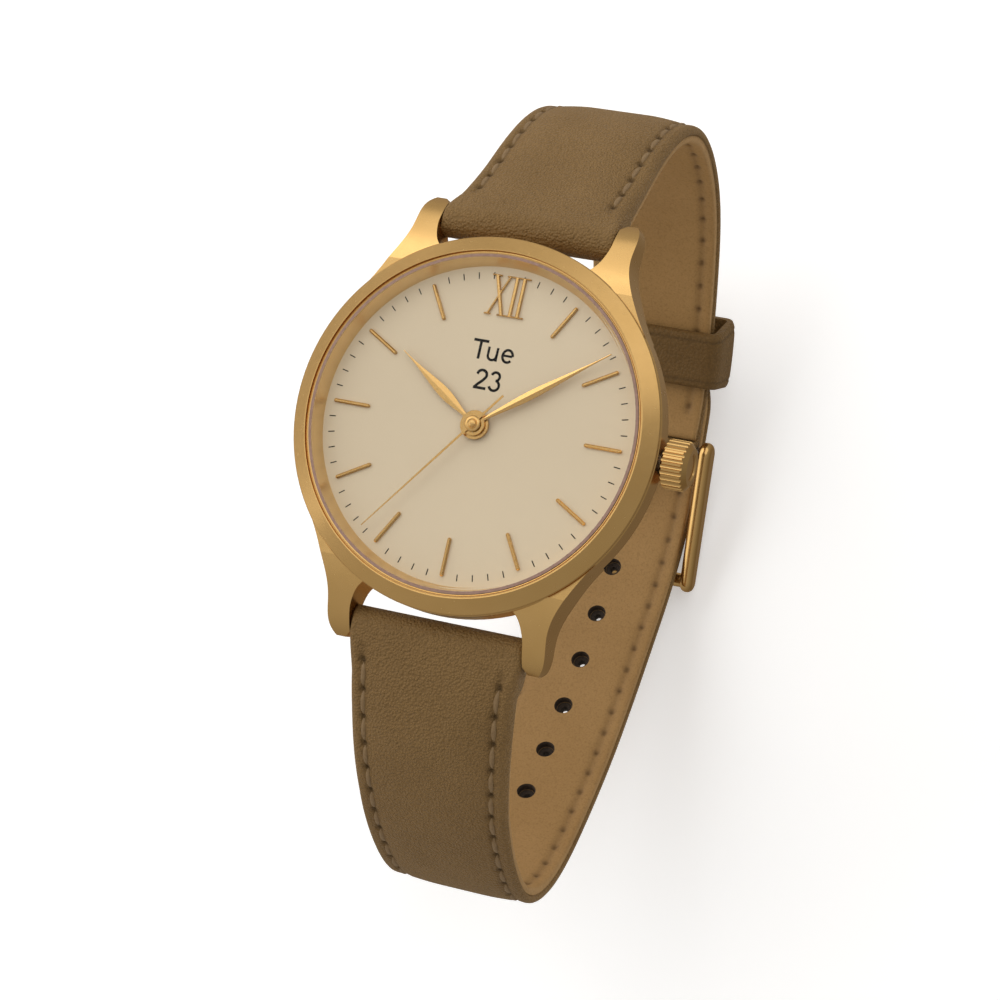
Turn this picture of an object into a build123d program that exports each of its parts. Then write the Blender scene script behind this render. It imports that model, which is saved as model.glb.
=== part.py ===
"""Round three-hand quartz wristwatch on a two-piece leather strap, closed with a tongue buckle.

Millimetres. The origin is the centre of the case back's outer face, +Z is out of the dial,
+Y is towards twelve o'clock and +X is towards the crown. The strap is modelled as it is worn.
"""

from build123d import *
import os
from math import asin, cos, degrees, radians, sin

os.makedirs("parts", exist_ok=True)

# ---- driving dimensions: case ----
BEZEL_R = 18.5
CASE_R = 18.55
CASE_TOP = 5.5
BAND_LOW = 3.0  # the straight side band ends here and the case tapers in
CASE_LOW = 0.55
CASE_FOOT_R = 16.0
CAVITY_R = 14.7
NECK_R = 17.5  # the bezel is pressed over this neck
NECK_TOP = 6.1
DIAL_TOP = 5.0
DIAL_T = 0.4
DIAL_R = 16.0
DIAL_SEEN_R = 15.73
CRYSTAL_R = 16.3
CRYSTAL_LOW = 6.45
CRYSTAL_TOP = 7.3
PEAK_R = 17.03  # polished ridge round the inside of the bezel
PEAK_Z = 6.9
BEZEL_EDGE_Z = 5.9

# ---- driving dimensions: lugs and strap bars ----
LUG_GAP = 18.0
LUG_TIP_Y = 22.3
BAR_Y = 20.9
BAR_Z = 1.6
BAR_R = 0.75
PIN_R = 0.4
PIN_REACH = 0.8  # how far a spring bar's pin stands in its lug
PIN_LENGTH = 4.3
FIT = 0.05  # running clearance on a radius
SNUG = 0.01  # clearance of a part held still in its seat

# ---- driving dimensions: crown and stem ----
CROWN_Z = 3.0
CROWN_R = 2.4
CROWN_IN = 18.8
CROWN_OUT = 21.35
CROWN_PULL = 0.8
TUBE_R = 0.95
STEM_R = 0.45
STEM_IN = 7.4

# ---- driving dimensions: movement ----
MOVEMENT_R = 13.0
PLATE_LOW = 3.2
PLATE_TOP = 3.5
RIM_R = 12.4
RIM_LOW = 1.2
MODULE = 0.1
ROTOR_MODULE = 0.08
CENTRE_TEETH, THIRD_TEETH, FOURTH_TEETH, FIFTH_TEETH = 64, 60, 48, 45
MINUTE_TEETH, HOUR_TEETH, SETTING_TEETH = 36, 40, 30
TRAIN_PINION, ROTOR_PINION, CANNON_TEETH, MINUTE_PINION = 8, 9, 12, 10
ARBOR_R = 0.12
PIVOT_LOW = 1.0

# ---- driving dimensions: hands, shown at eight minutes past ten ----
HOUR_HAND_R, MINUTE_HAND_R, SECOND_HAND_R = 10.6, 14.95, 14.6
HOUR_HAND_AT, MINUTE_HAND_AT, SECOND_HAND_AT = 304.1, 53.4, 217.3  # clockwise from twelve

# ---- driving dimensions: strap, keeper and buckle ----
LUG_END_R = 1.6
LUG_HALF_WIDTH = 8.6
TAIL_HALF_WIDTH = 7.2
LINING_T = 0.8
STRAP_T = 2.05
HOLE_PITCH = 6.1
HOLE_R = 0.95
HOLES = 7
FIRST_HOLE = 21.6  # from the tail's tip, along the strap
BUCKLE_BAR = (8.5, -49.3)  # y, z of the bar the buckle turns on
BUCKLE_BAR_R = 0.72
BUCKLE_END_R = 1.45
FAR_BAR = (-5.7, -53.4)
FAR_BAR_R = 0.8
ARM_IN = 7.6
ARM_OUT = 9.1
KEEPER_CENTRE = (9.2, -23.6)  # y, z of the arc that the keeper slides round
STRAP_ARC_R = 24.2
KEEPER_AT = 23.3  # degrees round that arc, from straight down towards twelve o'clock
KEEPER_WIDTH = 15.4  # degrees


def finish(piece, node):
    """Label a finished piece and write its STEP file."""
    piece.part.label = node
    export_step(piece.part, f"parts/{node}.step")


def clockwise(degrees_from_twelve):
    """The direction, in degrees from +X, of a clock angle."""
    return 90 - degrees_from_twelve


def polar(radius, angle):
    """The point at a radius and an angle in degrees."""
    return (radius * cos(radians(angle)), radius * sin(radians(angle)))


# =====================================================================
# Case
# =====================================================================
with BuildPart() as lug_blank:
    with BuildSketch(Plane.XY):
        with BuildLine():
            Polyline((14.9, 11.0), (7.2, 12.0), (7.2, 16.0))
            Spline((7.2, 16.0), (8.25, 17.35), (8.8, 18.6), (9.0, 20.0), tangents=[(0.4, 1), (0, 1)])
            Polyline((9.0, 20.0), (9.0, 21.7), (9.55, LUG_TIP_Y), (10.55, LUG_TIP_Y))
            Spline((10.55, LUG_TIP_Y), (11.0, 21.7), (11.35, 18.6), (12.5, 15.1), (14.9, 11.0))
        make_face()
    extrude(amount=CASE_TOP)
    with BuildSketch(Plane.YZ):
        with BuildLine():
            Spline((11.0, CASE_TOP - 0.05), (16.2, 5.2), (19.3, 3.95), (21.4, 2.65), (LUG_TIP_Y, 1.6))
            Polyline((LUG_TIP_Y, 1.6), (LUG_TIP_Y - 0.1, 0.7), (LUG_TIP_Y - 0.5, 0.35))
            Spline((LUG_TIP_Y - 0.5, 0.35), (19.0, 0.8), (15.5, 1.5), (11.0, 2.2))
            Line((11.0, 2.2), (11.0, CASE_TOP - 0.05))
        make_face()
    extrude(amount=2 * BEZEL_R, mode=Mode.INTERSECT)

with BuildPart() as case_middle:
    with BuildSketch(Plane.XZ):
        Polygon(
            (CAVITY_R, CASE_LOW),
            (CASE_FOOT_R, CASE_LOW),
            (CASE_R - 0.15, BAND_LOW - 0.4),
            (CASE_R, BAND_LOW),
            (CASE_R, CASE_TOP - 0.1),
            (CASE_R - 0.1, CASE_TOP),
            (NECK_R, CASE_TOP),
            (NECK_R, NECK_TOP),
            (CAVITY_R, NECK_TOP),
            align=None,
        )
    revolve(axis=Axis.Z)
    add(lug_blank.part)
    add(mirror(lug_blank.part, about=Plane.YZ))
    add(mirror(lug_blank.part, about=Plane.XZ))
    add(mirror(mirror(lug_blank.part, about=Plane.YZ), about=Plane.XZ))
    # stepped cavity: movement, then dial seat, then rehaut ring
    for radius, low in ((CAVITY_R, CASE_LOW), (DIAL_R + 0.05, DIAL_TOP - DIAL_T), (17.0, DIAL_TOP)):
        with BuildSketch(Plane.XY.offset(low)):
            Circle(radius)
        extrude(amount=NECK_TOP - low, mode=Mode.SUBTRACT)
    # blind holes for the spring bars' pins
    with BuildSketch(Plane.YZ):
        with Locations((BAR_Y, BAR_Z), (-BAR_Y, BAR_Z)):
            Circle(PIN_R + FIT)
    extrude(amount=LUG_GAP / 2 + PIN_REACH + 0.1, both=True, mode=Mode.SUBTRACT)
    # bore for the crown tube
    with BuildSketch(Plane.YZ.offset(CAVITY_R - 1)):
        with Locations((0, CROWN_Z)):
            Circle(TUBE_R + SNUG)
    extrude(amount=6, mode=Mode.SUBTRACT)
finish(case_middle, "case_middle")

with BuildPart() as bezel:
    with BuildSketch(Plane.XZ):
        Polygon(
            (CRYSTAL_R + 0.3, 6.4),
            (CRYSTAL_R + 0.3, 6.68),
            (CRYSTAL_R + 0.42, 6.7),
            (CRYSTAL_R + 0.46, 6.58),
            (PEAK_R - 0.17, 6.58),
            (PEAK_R - 0.11, PEAK_Z - 0.01),
            (PEAK_R, PEAK_Z),
            (BEZEL_R - 0.06, BEZEL_EDGE_Z + 0.04),
            (BEZEL_R, BEZEL_EDGE_Z - 0.04),
            (BEZEL_R, 5.72),
            (BEZEL_R - 0.22, CASE_TOP + 0.02),
            (NECK_R + SNUG, CASE_TOP + 0.02),
            (NECK_R + SNUG, NECK_TOP + SNUG),
            (16.99, NECK_TOP + SNUG),
            (16.99, 6.4),
            align=None,
        )
    revolve(axis=Axis.Z)
finish(bezel, "bezel")

# the crystal's top is a shallow dome inside a narrow bevel
DOME_EDGE = (CRYSTAL_R - 0.25, 7.0)
DOME_RISE = CRYSTAL_TOP - DOME_EDGE[1]
DOME_R = (DOME_EDGE[0] ** 2 + DOME_RISE**2) / (2 * DOME_RISE)
DOME_ARC = degrees(asin(DOME_EDGE[0] / DOME_R))
with BuildPart() as crystal:
    with BuildSketch(Plane.XZ):
        with BuildLine():
            Polyline(
                (0, CRYSTAL_TOP),
                (0, CRYSTAL_LOW),
                (CRYSTAL_R, CRYSTAL_LOW),
                (CRYSTAL_R, 6.82),
                DOME_EDGE,
            )
            CenterArc((0, CRYSTAL_TOP - DOME_R), DOME_R, 90 - DOME_ARC, DOME_ARC)
        make_face()
    revolve(axis=Axis.Z)
finish(crystal, "crystal")

with BuildPart() as crystal_gasket:
    with BuildSketch(Plane.XZ):
        with Locations((CRYSTAL_R + 0.15, 6.6)):
            Rectangle(0.3 - 2 * SNUG, 0.36)
    revolve(axis=Axis.Z)
finish(crystal_gasket, "crystal_gasket")

with BuildPart() as rehaut_ring:
    with BuildSketch(Plane.XZ):
        Polygon(
            (DIAL_SEEN_R, DIAL_TOP),
            (16.95, DIAL_TOP),
            (16.95, 6.38),
            (CRYSTAL_R + 0.05, 6.38),
            align=None,
        )
    revolve(axis=Axis.Z)
finish(rehaut_ring, "rehaut_ring")

with BuildPart() as caseback:
    with BuildSketch(Plane.XZ):
        Polygon(
            (0, 0),
            (15.5, 0),
            (15.8, 0.2),
            (15.8, CASE_LOW),
            (14.4, CASE_LOW),
            (14.4, 1.05),
            (13.8, 1.05),
            (13.8, CASE_LOW),
            (0, CASE_LOW),
            align=None,
        )
    revolve(axis=Axis.Z)
finish(caseback, "caseback")

with BuildPart() as caseback_gasket:
    with BuildSketch(Plane.XZ):
        with Locations((14.55, 0.8)):
            Rectangle(0.28, 0.4)
    revolve(axis=Axis.Z)
finish(caseback_gasket, "caseback_gasket")

# =====================================================================
# Dial and hands
# =====================================================================
with BuildPart() as dial:
    with BuildSketch(Plane.XY.offset(DIAL_TOP - DIAL_T)):
        Circle(DIAL_R)
        Circle(0.85, mode=Mode.SUBTRACT)
    extrude(amount=DIAL_T)
finish(dial, "dial")

# eleven applied batons; twelve o'clock has its numeral
BATON_IN, BATON_OUT, BATON_W, BATON_H = 11.1, 14.9, 0.36, 0.3
with BuildPart() as hour_markers:
    with BuildSketch(Plane.XY.offset(DIAL_TOP)):
        for hour in range(1, 12):
            with PolarLocations((BATON_IN + BATON_OUT) / 2, 1, start_angle=clockwise(30 * hour)):
                SlotOverall(BATON_OUT - BATON_IN, BATON_W)
    extrude(amount=BATON_H)
    chamfer(hour_markers.faces().group_by(Axis.Z)[-1].edges(), length=0.11)
finish(hour_markers, "hour_markers")

# applied XII: thick and thin strokes joined by thin serifs at the top and the bottom
NUMERAL_LOW, NUMERAL_HIGH = 10.9, 14.9
with BuildPart() as numeral_twelve:
    with BuildSketch(Plane.XY.offset(DIAL_TOP)):
        for left, width, lean in ((-1.36, 0.36, 1.25), (0.74, 0.34, 0.0), (1.5, 0.34, 0.0)):
            Polygon(
                (left, NUMERAL_HIGH),
                (left + width, NUMERAL_HIGH),
                (left + lean + width, NUMERAL_LOW),
                (left + lean, NUMERAL_LOW),
                align=None,
            )
        Polygon(
            (0.12, NUMERAL_HIGH),
            (0.32, NUMERAL_HIGH),
            (-1.3, NUMERAL_LOW),
            (-1.5, NUMERAL_LOW),
            align=None,
        )
        for middle, width in ((-1.18, 0.95), (0.2, 0.62), (1.32, 1.95)):
            with Locations((middle, NUMERAL_HIGH - 0.07)):
                Rectangle(width, 0.14)
        for middle, width in ((-1.4, 0.62), (0.04, 0.85), (1.32, 1.95)):
            with Locations((middle, NUMERAL_LOW + 0.07)):
                Rectangle(width, 0.14)
    extrude(amount=0.26)
    chamfer(numeral_twelve.faces().group_by(Axis.Z)[-1].edges(), length=0.06)
finish(numeral_twelve, "numeral_twelve")


def leaf_hand(angle, tip, width, low, height, collet_r, collet_low, bore):
    """A pointed leaf with a ridge along its middle, on a round collet."""
    along = polar(1, clockwise(angle))
    across = polar(1, clockwise(angle) + 90)
    flat = Plane(origin=(0, 0, low), x_dir=(*along, 0), z_dir=(0, 0, 1))
    front = Plane(origin=(0, 0, low), x_dir=(*across, 0), z_dir=(*along, 0))
    neck = 0.42
    with BuildPart() as hand:
        with BuildSketch(flat):
            with BuildLine():
                Spline(
                    (0, neck / 2),
                    (0.15 * tip, neck / 2),
                    (0.37 * tip, width / 2),
                    (0.66 * tip, 0.3 * width),
                    (tip, 0.04),
                )
                Line((tip, 0.04), (tip, -0.04))
                Spline(
                    (tip, -0.04),
                    (0.66 * tip, -0.3 * width),
                    (0.37 * tip, -width / 2),
                    (0.15 * tip, -neck / 2),
                    (0, -neck / 2),
                )
                Line((0, -neck / 2), (0, neck / 2))
            make_face()
        extrude(amount=height)
        with BuildSketch(front):
            Polygon((-width, 0), (width, 0), (width, 0.04), (0, height), (-width, 0.04), align=None)
        extrude(amount=tip + 1, mode=Mode.INTERSECT)
        with BuildSketch(Plane.XY.offset(collet_low)):
            Circle(collet_r)
        extrude(amount=low + height - collet_low)
        with BuildSketch(Plane.XY.offset(collet_low)):
            Circle(bore)
        extrude(amount=low + height - collet_low, mode=Mode.SUBTRACT)
    return hand


HOUR_TUBE_R, HOUR_BORE = 0.7, 0.47
CANNON_R, CANNON_BORE = 0.42, 0.31
hour_hand = leaf_hand(HOUR_HAND_AT, HOUR_HAND_R, 1.05, 5.34, 0.2, 1.42, 5.2, HOUR_TUBE_R + SNUG)
finish(hour_hand, "hour_hand")
minute_hand = leaf_hand(MINUTE_HAND_AT, MINUTE_HAND_R, 0.85, 5.66, 0.2, 1.12, 5.62, CANNON_R + SNUG)
finish(minute_hand, "minute_hand")

with BuildPart() as second_hand:
    seconds_along = polar(1, clockwise(SECOND_HAND_AT))
    with BuildSketch(Plane(origin=(0, 0, 5.98), x_dir=(*seconds_along, 0), z_dir=(0, 0, 1))):
        Polygon(
            (-4.0, -0.1),
            (0, -0.12),
            (SECOND_HAND_R, -0.04),
            (SECOND_HAND_R, 0.04),
            (0, 0.12),
            (-4.0, 0.1),
            align=None,
        )
        Circle(0.75)
    extrude(amount=0.08)
    with BuildSketch(Plane.XZ):
        Polygon(
            (0, 5.98),
            (0.78, 5.98),
            (0.78, 6.08),
            (0.7, 6.15),
            (0.5, 6.17),
            (0.42, 6.12),
            (0.36, 6.12),
            (0.32, 6.24),
            (0.18, 6.31),
            (0, 6.32),
            align=None,
        )
    revolve(axis=Axis.Z)
    with BuildSketch(Plane.XY.offset(5.98)):
        Circle(ARBOR_R + SNUG)
    extrude(amount=0.18, mode=Mode.SUBTRACT)
finish(second_hand, "second_hand")


# =====================================================================
# Gear train, from the rotor to the hands
# =====================================================================
def gear(teeth, module, turn=0.0):
    """The closed outline of a fine-toothed wheel, as points."""
    pitch_r = teeth * module / 2
    step = 360 / teeth
    corners = []
    for tooth in range(teeth):
        middle = turn + tooth * step
        for radius, share in (
            (pitch_r - 1.1 * module, -0.3),
            (pitch_r + 0.75 * module, -0.1),
            (pitch_r + 0.75 * module, 0.1),
            (pitch_r - 1.1 * module, 0.3),
        ):
            corners.append(polar(radius, middle + share * step))
    return corners


def meshing_turn(teeth, turn, other_teeth, bearing):
    """How far another wheel is turned so that its gap meets this wheel's tooth.

    The bearing is from this wheel to that one.
    """
    phase = (bearing - turn) * teeth / 360
    return bearing + 180 - (0.5 - phase) * 360 / other_teeth


def wheel(centre, layers, bore=0.0):
    """Round (a radius) or toothed (an outline) layers on one axis, as (low, high, shape)."""
    with BuildPart() as turned:
        for low, high, shape in layers:
            with BuildSketch(Plane.XY.offset(low)):
                with Locations(centre):
                    if isinstance(shape, list):
                        Polygon(*shape, align=None)
                    else:
                        Circle(shape)
            extrude(amount=high - low)
        if bore:
            lowest = min(layer[0] for layer in layers)
            highest = max(layer[1] for layer in layers)
            with BuildSketch(Plane.XY.offset(lowest)):
                with Locations(centre):
                    Circle(bore)
            extrude(amount=highest - lowest, mode=Mode.SUBTRACT)
    return turned


THIRD_BEARING, FIFTH_BEARING = 200, 120
THIRD_FROM_CENTRE = (THIRD_TEETH + TRAIN_PINION) * MODULE / 2
CENTRE_MODULE = 2 * THIRD_FROM_CENTRE / (CENTRE_TEETH + TRAIN_PINION)
FIFTH_FROM_CENTRE = (FOURTH_TEETH + TRAIN_PINION) * MODULE / 2
ROTOR_FROM_FIFTH = (FIFTH_TEETH + ROTOR_PINION) * ROTOR_MODULE / 2
MINUTE_FROM_CENTRE = (MINUTE_TEETH + CANNON_TEETH) * MODULE / 2
HOUR_MODULE = 2 * MINUTE_FROM_CENTRE / (HOUR_TEETH + MINUTE_PINION)
SETTING_FROM_MINUTE = (SETTING_TEETH + MINUTE_TEETH) * MODULE / 2
CENTRE = (0, 0)
THIRD = polar(THIRD_FROM_CENTRE, THIRD_BEARING)
FIFTH = polar(FIFTH_FROM_CENTRE, FIFTH_BEARING)
ROTOR = polar(FIFTH_FROM_CENTRE + ROTOR_FROM_FIFTH, FIFTH_BEARING)
MINUTE = (MINUTE_FROM_CENTRE, 0)
SETTING = (MINUTE_FROM_CENTRE + SETTING_FROM_MINUTE, 0)

rotor_turn = meshing_turn(FIFTH_TEETH, 0, ROTOR_PINION, FIFTH_BEARING)
rotor = wheel(
    ROTOR,
    [(PIVOT_LOW, 3.4, ARBOR_R), (1.4, 1.65, gear(ROTOR_PINION, ROTOR_MODULE, rotor_turn)), (1.75, 2.35, 0.8)],
)
finish(rotor, "rotor")

fifth_turn = meshing_turn(FOURTH_TEETH, 0, TRAIN_PINION, FIFTH_BEARING)
fifth_wheel = wheel(
    FIFTH,
    [
        (PIVOT_LOW, 2.52, ARBOR_R),
        (1.45, 1.6, gear(FIFTH_TEETH, ROTOR_MODULE)),
        (1.68, 1.95, gear(TRAIN_PINION, MODULE, fifth_turn)),
    ],
)
finish(fifth_wheel, "fifth_wheel")

fourth_pinion_turn = meshing_turn(THIRD_TEETH, 0, TRAIN_PINION, THIRD_BEARING + 180)
fourth_wheel = wheel(
    CENTRE,
    [
        (PIVOT_LOW, 6.14, ARBOR_R),
        (1.75, 1.9, gear(FOURTH_TEETH, MODULE)),
        (1.95, 2.35, gear(TRAIN_PINION, MODULE, fourth_pinion_turn)),
    ],
)
finish(fourth_wheel, "fourth_wheel")

third_pinion_turn = meshing_turn(CENTRE_TEETH, 0, TRAIN_PINION, THIRD_BEARING)
third_wheel = wheel(
    THIRD,
    [
        (PIVOT_LOW, 3.4, ARBOR_R),
        (2.1, 2.25, gear(THIRD_TEETH, MODULE)),
        (2.5, 2.9, gear(TRAIN_PINION, CENTRE_MODULE, third_pinion_turn)),
    ],
)
finish(third_wheel, "third_wheel")

centre_wheel = wheel(
    CENTRE,
    [(2.6, 2.8, gear(CENTRE_TEETH, CENTRE_MODULE)), (2.8, 5.7, CANNON_BORE - SNUG)],
    bore=ARBOR_R + FIT,
)
finish(centre_wheel, "centre_wheel")

cannon_pinion = wheel(
    CENTRE,
    [(3.58, 3.96, gear(CANNON_TEETH, MODULE)), (3.96, 5.84, CANNON_R)],
    bore=CANNON_BORE,
)
finish(cannon_pinion, "cannon_pinion")

minute_turn = meshing_turn(CANNON_TEETH, 0, MINUTE_TEETH, 0)
minute_pinion_turn = meshing_turn(HOUR_TEETH, 0, MINUTE_PINION, 0)
MINUTE_STUD_R = 0.2
minute_wheel = wheel(
    MINUTE,
    [
        (3.7, 3.85, gear(MINUTE_TEETH, MODULE, minute_turn)),
        (3.85, 4.3, gear(MINUTE_PINION, HOUR_MODULE, minute_pinion_turn)),
    ],
    bore=MINUTE_STUD_R + FIT,
)
finish(minute_wheel, "minute_wheel")

hour_wheel = wheel(
    CENTRE,
    [(4.05, 4.2, gear(HOUR_TEETH, HOUR_MODULE)), (4.2, 5.54, HOUR_TUBE_R)],
    bore=HOUR_BORE,
)
finish(hour_wheel, "hour_wheel")

setting_turn = meshing_turn(MINUTE_TEETH, minute_turn, SETTING_TEETH, 0)
setting_outline = gear(SETTING_TEETH, MODULE, setting_turn)
SETTING_ARBOR_R = 0.25
setting_wheel = wheel(
    SETTING,
    [(2.85, 3.1, setting_outline), (3.1, 3.7, SETTING_ARBOR_R), (3.7, 3.85, setting_outline)],
)
finish(setting_wheel, "setting_wheel")

# =====================================================================
# Movement: plates, motor, circuit and battery
# =====================================================================
POST_R = 0.6
POSTS = ((3.6, -3.4), (-7.2, 1.6), (3.4, 2.6))
LEVER_PIVOT = (11.0, 2.2)
YOKE_PIVOT = (8.7, -2.9)
PIVOT_PIN_R = 0.22
SCREW_R = 0.25

with BuildPart() as main_plate:
    with BuildSketch(Plane.XY.offset(PLATE_LOW)):
        Circle(MOVEMENT_R)
    extrude(amount=PLATE_TOP - PLATE_LOW)
    with BuildSketch(Plane.XY.offset(RIM_LOW)):
        Circle(MOVEMENT_R)
        Circle(RIM_R, mode=Mode.SUBTRACT)
    extrude(amount=DIAL_TOP - DIAL_T - RIM_LOW)
    # posts that carry the train bridge
    with BuildSketch(Plane.XY.offset(RIM_LOW)):
        with Locations(*POSTS):
            Circle(POST_R)
            Circle(SCREW_R + SNUG, mode=Mode.SUBTRACT)
    extrude(amount=PLATE_LOW - RIM_LOW)
    # pins that the setting lever and the yoke turn on
    with BuildSketch(Plane.XY.offset(2.8)):
        with Locations(LEVER_PIVOT, YOKE_PIVOT):
            Circle(PIVOT_PIN_R)
    extrude(amount=PLATE_LOW - 2.8)
    # stud for the minute wheel
    with BuildSketch(Plane.XY.offset(PLATE_TOP)):
        with Locations(MINUTE):
            Circle(MINUTE_STUD_R)
    extrude(amount=0.85)
    # bearing holes, and the opening that the clutch and stem lie in
    with BuildSketch(Plane.XY.offset(PLATE_LOW)):
        with Locations(THIRD, ROTOR):
            Circle(ARBOR_R + FIT)
        with Locations(SETTING):
            Circle(SETTING_ARBOR_R + FIT)
        Circle(CANNON_BORE + FIT)
        with Locations((8.5, 0)):
            Rectangle(2.6, 2.3)
        with Locations((11.1, 0)):
            Rectangle(2.8, 1.2)
    extrude(amount=PLATE_TOP - PLATE_LOW, mode=Mode.SUBTRACT)
    with BuildSketch(Plane.YZ.offset(RIM_R - 0.2)):
        with Locations((0, CROWN_Z)):
            Circle(STEM_R + 0.1)
    extrude(amount=1.5, mode=Mode.SUBTRACT)
finish(main_plate, "main_plate")

with BuildPart() as movement_ring:
    with BuildSketch(Plane.XY.offset(1.15)):
        Circle(CAVITY_R - 0.05)
        Circle(MOVEMENT_R + 0.05, mode=Mode.SUBTRACT)
    extrude(amount=3.4)
    with BuildSketch(Plane.YZ.offset(MOVEMENT_R - 0.5)):
        with Locations((0, CROWN_Z)):
            Circle(TUBE_R)
    extrude(amount=3, mode=Mode.SUBTRACT)
finish(movement_ring, "movement_ring")

with BuildPart() as train_bridge:
    with BuildSketch(Plane.XY.offset(0.95)) as bridge_outline:
        Polygon(
            (4.6, -4.3),
            (4.4, 3.4),
            (-1.0, 5.6),
            (-4.4, 5.6),
            (-8.2, 2.4),
            (-7.8, 0.6),
            (-4.4, -3.0),
            align=None,
        )
        fillet(bridge_outline.vertices(), radius=0.7)
        with Locations(CENTRE, THIRD, FIFTH, ROTOR):
            Circle(ARBOR_R + FIT, mode=Mode.SUBTRACT)
        with Locations(*POSTS):
            Circle(SCREW_R + SNUG, mode=Mode.SUBTRACT)
    extrude(amount=0.25)
finish(train_bridge, "train_bridge")

with BuildPart() as bridge_screws:
    with BuildSketch(Plane.XY.offset(0.95)):
        with Locations(*POSTS):
            Circle(SCREW_R)
    extrude(amount=1.3)
    with BuildSketch(Plane.XY.offset(0.73)):
        with Locations(*POSTS):
            Circle(0.5)
    extrude(amount=0.22)
    with BuildSketch(Plane.XY.offset(0.73)):
        with Locations(*POSTS):
            Rectangle(0.9, 0.14)
    extrude(amount=0.1, mode=Mode.SUBTRACT)
finish(bridge_screws, "bridge_screws")

COCK_POST = (-3.9, 2.6)
with BuildPart() as wheel_cock:
    with BuildSketch(Plane.XY.offset(2.4)):
        with Locations(FIFTH):
            Circle(0.5)
        with Locations(COCK_POST):
            Circle(0.5)
        make_hull()
        with Locations(FIFTH):
            Circle(ARBOR_R + FIT, mode=Mode.SUBTRACT)
    extrude(amount=0.15)
    with BuildSketch(Plane.XY.offset(2.55)):
        with Locations(COCK_POST):
            Circle(0.45)
    extrude(amount=PLATE_LOW - 2.55)
finish(wheel_cock, "wheel_cock")

COIL_Y = 9.3
CORE_LOW = 2.2
CORE_T = 0.3
COIL_SCREWS = ((-6.7, COIL_Y), (3.1, COIL_Y))
with BuildPart() as stator:
    with BuildSketch(Plane.XY.offset(1.85)):
        with Locations(ROTOR):
            Circle(1.5)
        with Locations((-1.8, 4.5)):
            Rectangle(11.2, 1.2)
        with Locations((-6.7, 6.9), (3.1, 6.9)):
            Rectangle(1.4, 6.0)
        with Locations(ROTOR):
            Circle(1.0, mode=Mode.SUBTRACT)
        with Locations(*COIL_SCREWS):
            Circle(SCREW_R + SNUG, mode=Mode.SUBTRACT)
    extrude(amount=CORE_LOW - 1.85)
finish(stator, "stator")

with BuildPart() as coil_core:
    with BuildSketch(Plane.XY.offset(CORE_LOW)):
        with Locations((-1.8, COIL_Y)):
            Rectangle(11.2, 1.0)
        with Locations(*COIL_SCREWS):
            Circle(SCREW_R + SNUG, mode=Mode.SUBTRACT)
    extrude(amount=CORE_T)
finish(coil_core, "coil_core")

with BuildPart() as coil_winding:
    with BuildSketch(Plane.YZ.offset(-5.6)):
        with Locations((COIL_Y, CORE_LOW + CORE_T / 2)):
            Circle(0.8)
            Rectangle(1.0 + SNUG, CORE_T + SNUG, mode=Mode.SUBTRACT)
    extrude(amount=7.6)
finish(coil_winding, "coil_winding")

with BuildPart() as coil_screws:
    with BuildSketch(Plane.XY.offset(1.7)):
        with Locations(*COIL_SCREWS):
            Circle(SCREW_R)
    extrude(amount=CORE_LOW + CORE_T - 1.7)
    with BuildSketch(Plane.XY.offset(CORE_LOW + CORE_T)):
        with Locations(*COIL_SCREWS):
            Circle(0.45)
    extrude(amount=0.2)
finish(coil_screws, "coil_screws")

with BuildPart() as circuit_board:
    with BuildSketch(Plane.XY.offset(PLATE_LOW - 0.2)) as board_outline:
        Polygon((0.9, -4.5), (9.4, -4.5), (10.2, -6.6), (6.0, -10.4), (0.9, -11.6), align=None)
        fillet(board_outline.vertices(), radius=0.5)
    extrude(amount=0.2)
finish(circuit_board, "circuit_board")

with BuildPart() as ic_chip:
    with BuildSketch(Plane.XY.offset(2.5)):
        with Locations((3.0, -6.4)):
            Rectangle(1.8, 1.8)
    extrude(amount=0.5)
finish(ic_chip, "ic_chip")

with BuildPart() as quartz_oscillator:
    with BuildSketch(Plane.YZ.offset(3.2)):
        with Locations((-8.6, 2.25)):
            Circle(0.75)
    extrude(amount=4.6)
finish(quartz_oscillator, "quartz_oscillator")

BATTERY = polar(8.9, 250)
with BuildPart() as battery:
    with BuildSketch(Plane.XY.offset(1.25)):
        with Locations(BATTERY):
            Circle(3.4)
    extrude(amount=1.65)
    chamfer(battery.edges().filter_by(GeomType.CIRCLE), length=0.15)
finish(battery, "battery")

with BuildPart() as battery_clamp:
    with BuildSketch(Plane.XY.offset(1.08)) as clamp_outline:
        with Locations(BATTERY):
            Rectangle(7.4, 1.6)
            Rectangle(1.6, 4.4)
        fillet(clamp_outline.vertices(), radius=0.3)
    extrude(amount=0.15)
finish(battery_clamp, "battery_clamp")

# =====================================================================
# Crown, stem and hand-setting work
# =====================================================================
crown_axis = Axis((0, 0, CROWN_Z), (1, 0, 0))

with BuildPart() as crown_tube:
    with BuildSketch(Plane.YZ.offset(CAVITY_R + 0.05)):
        with Locations((0, CROWN_Z)):
            Circle(TUBE_R)
            Circle(STEM_R + FIT, mode=Mode.SUBTRACT)
    extrude(amount=19.85 - CAVITY_R - 0.05)
finish(crown_tube, "crown_tube")

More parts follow.
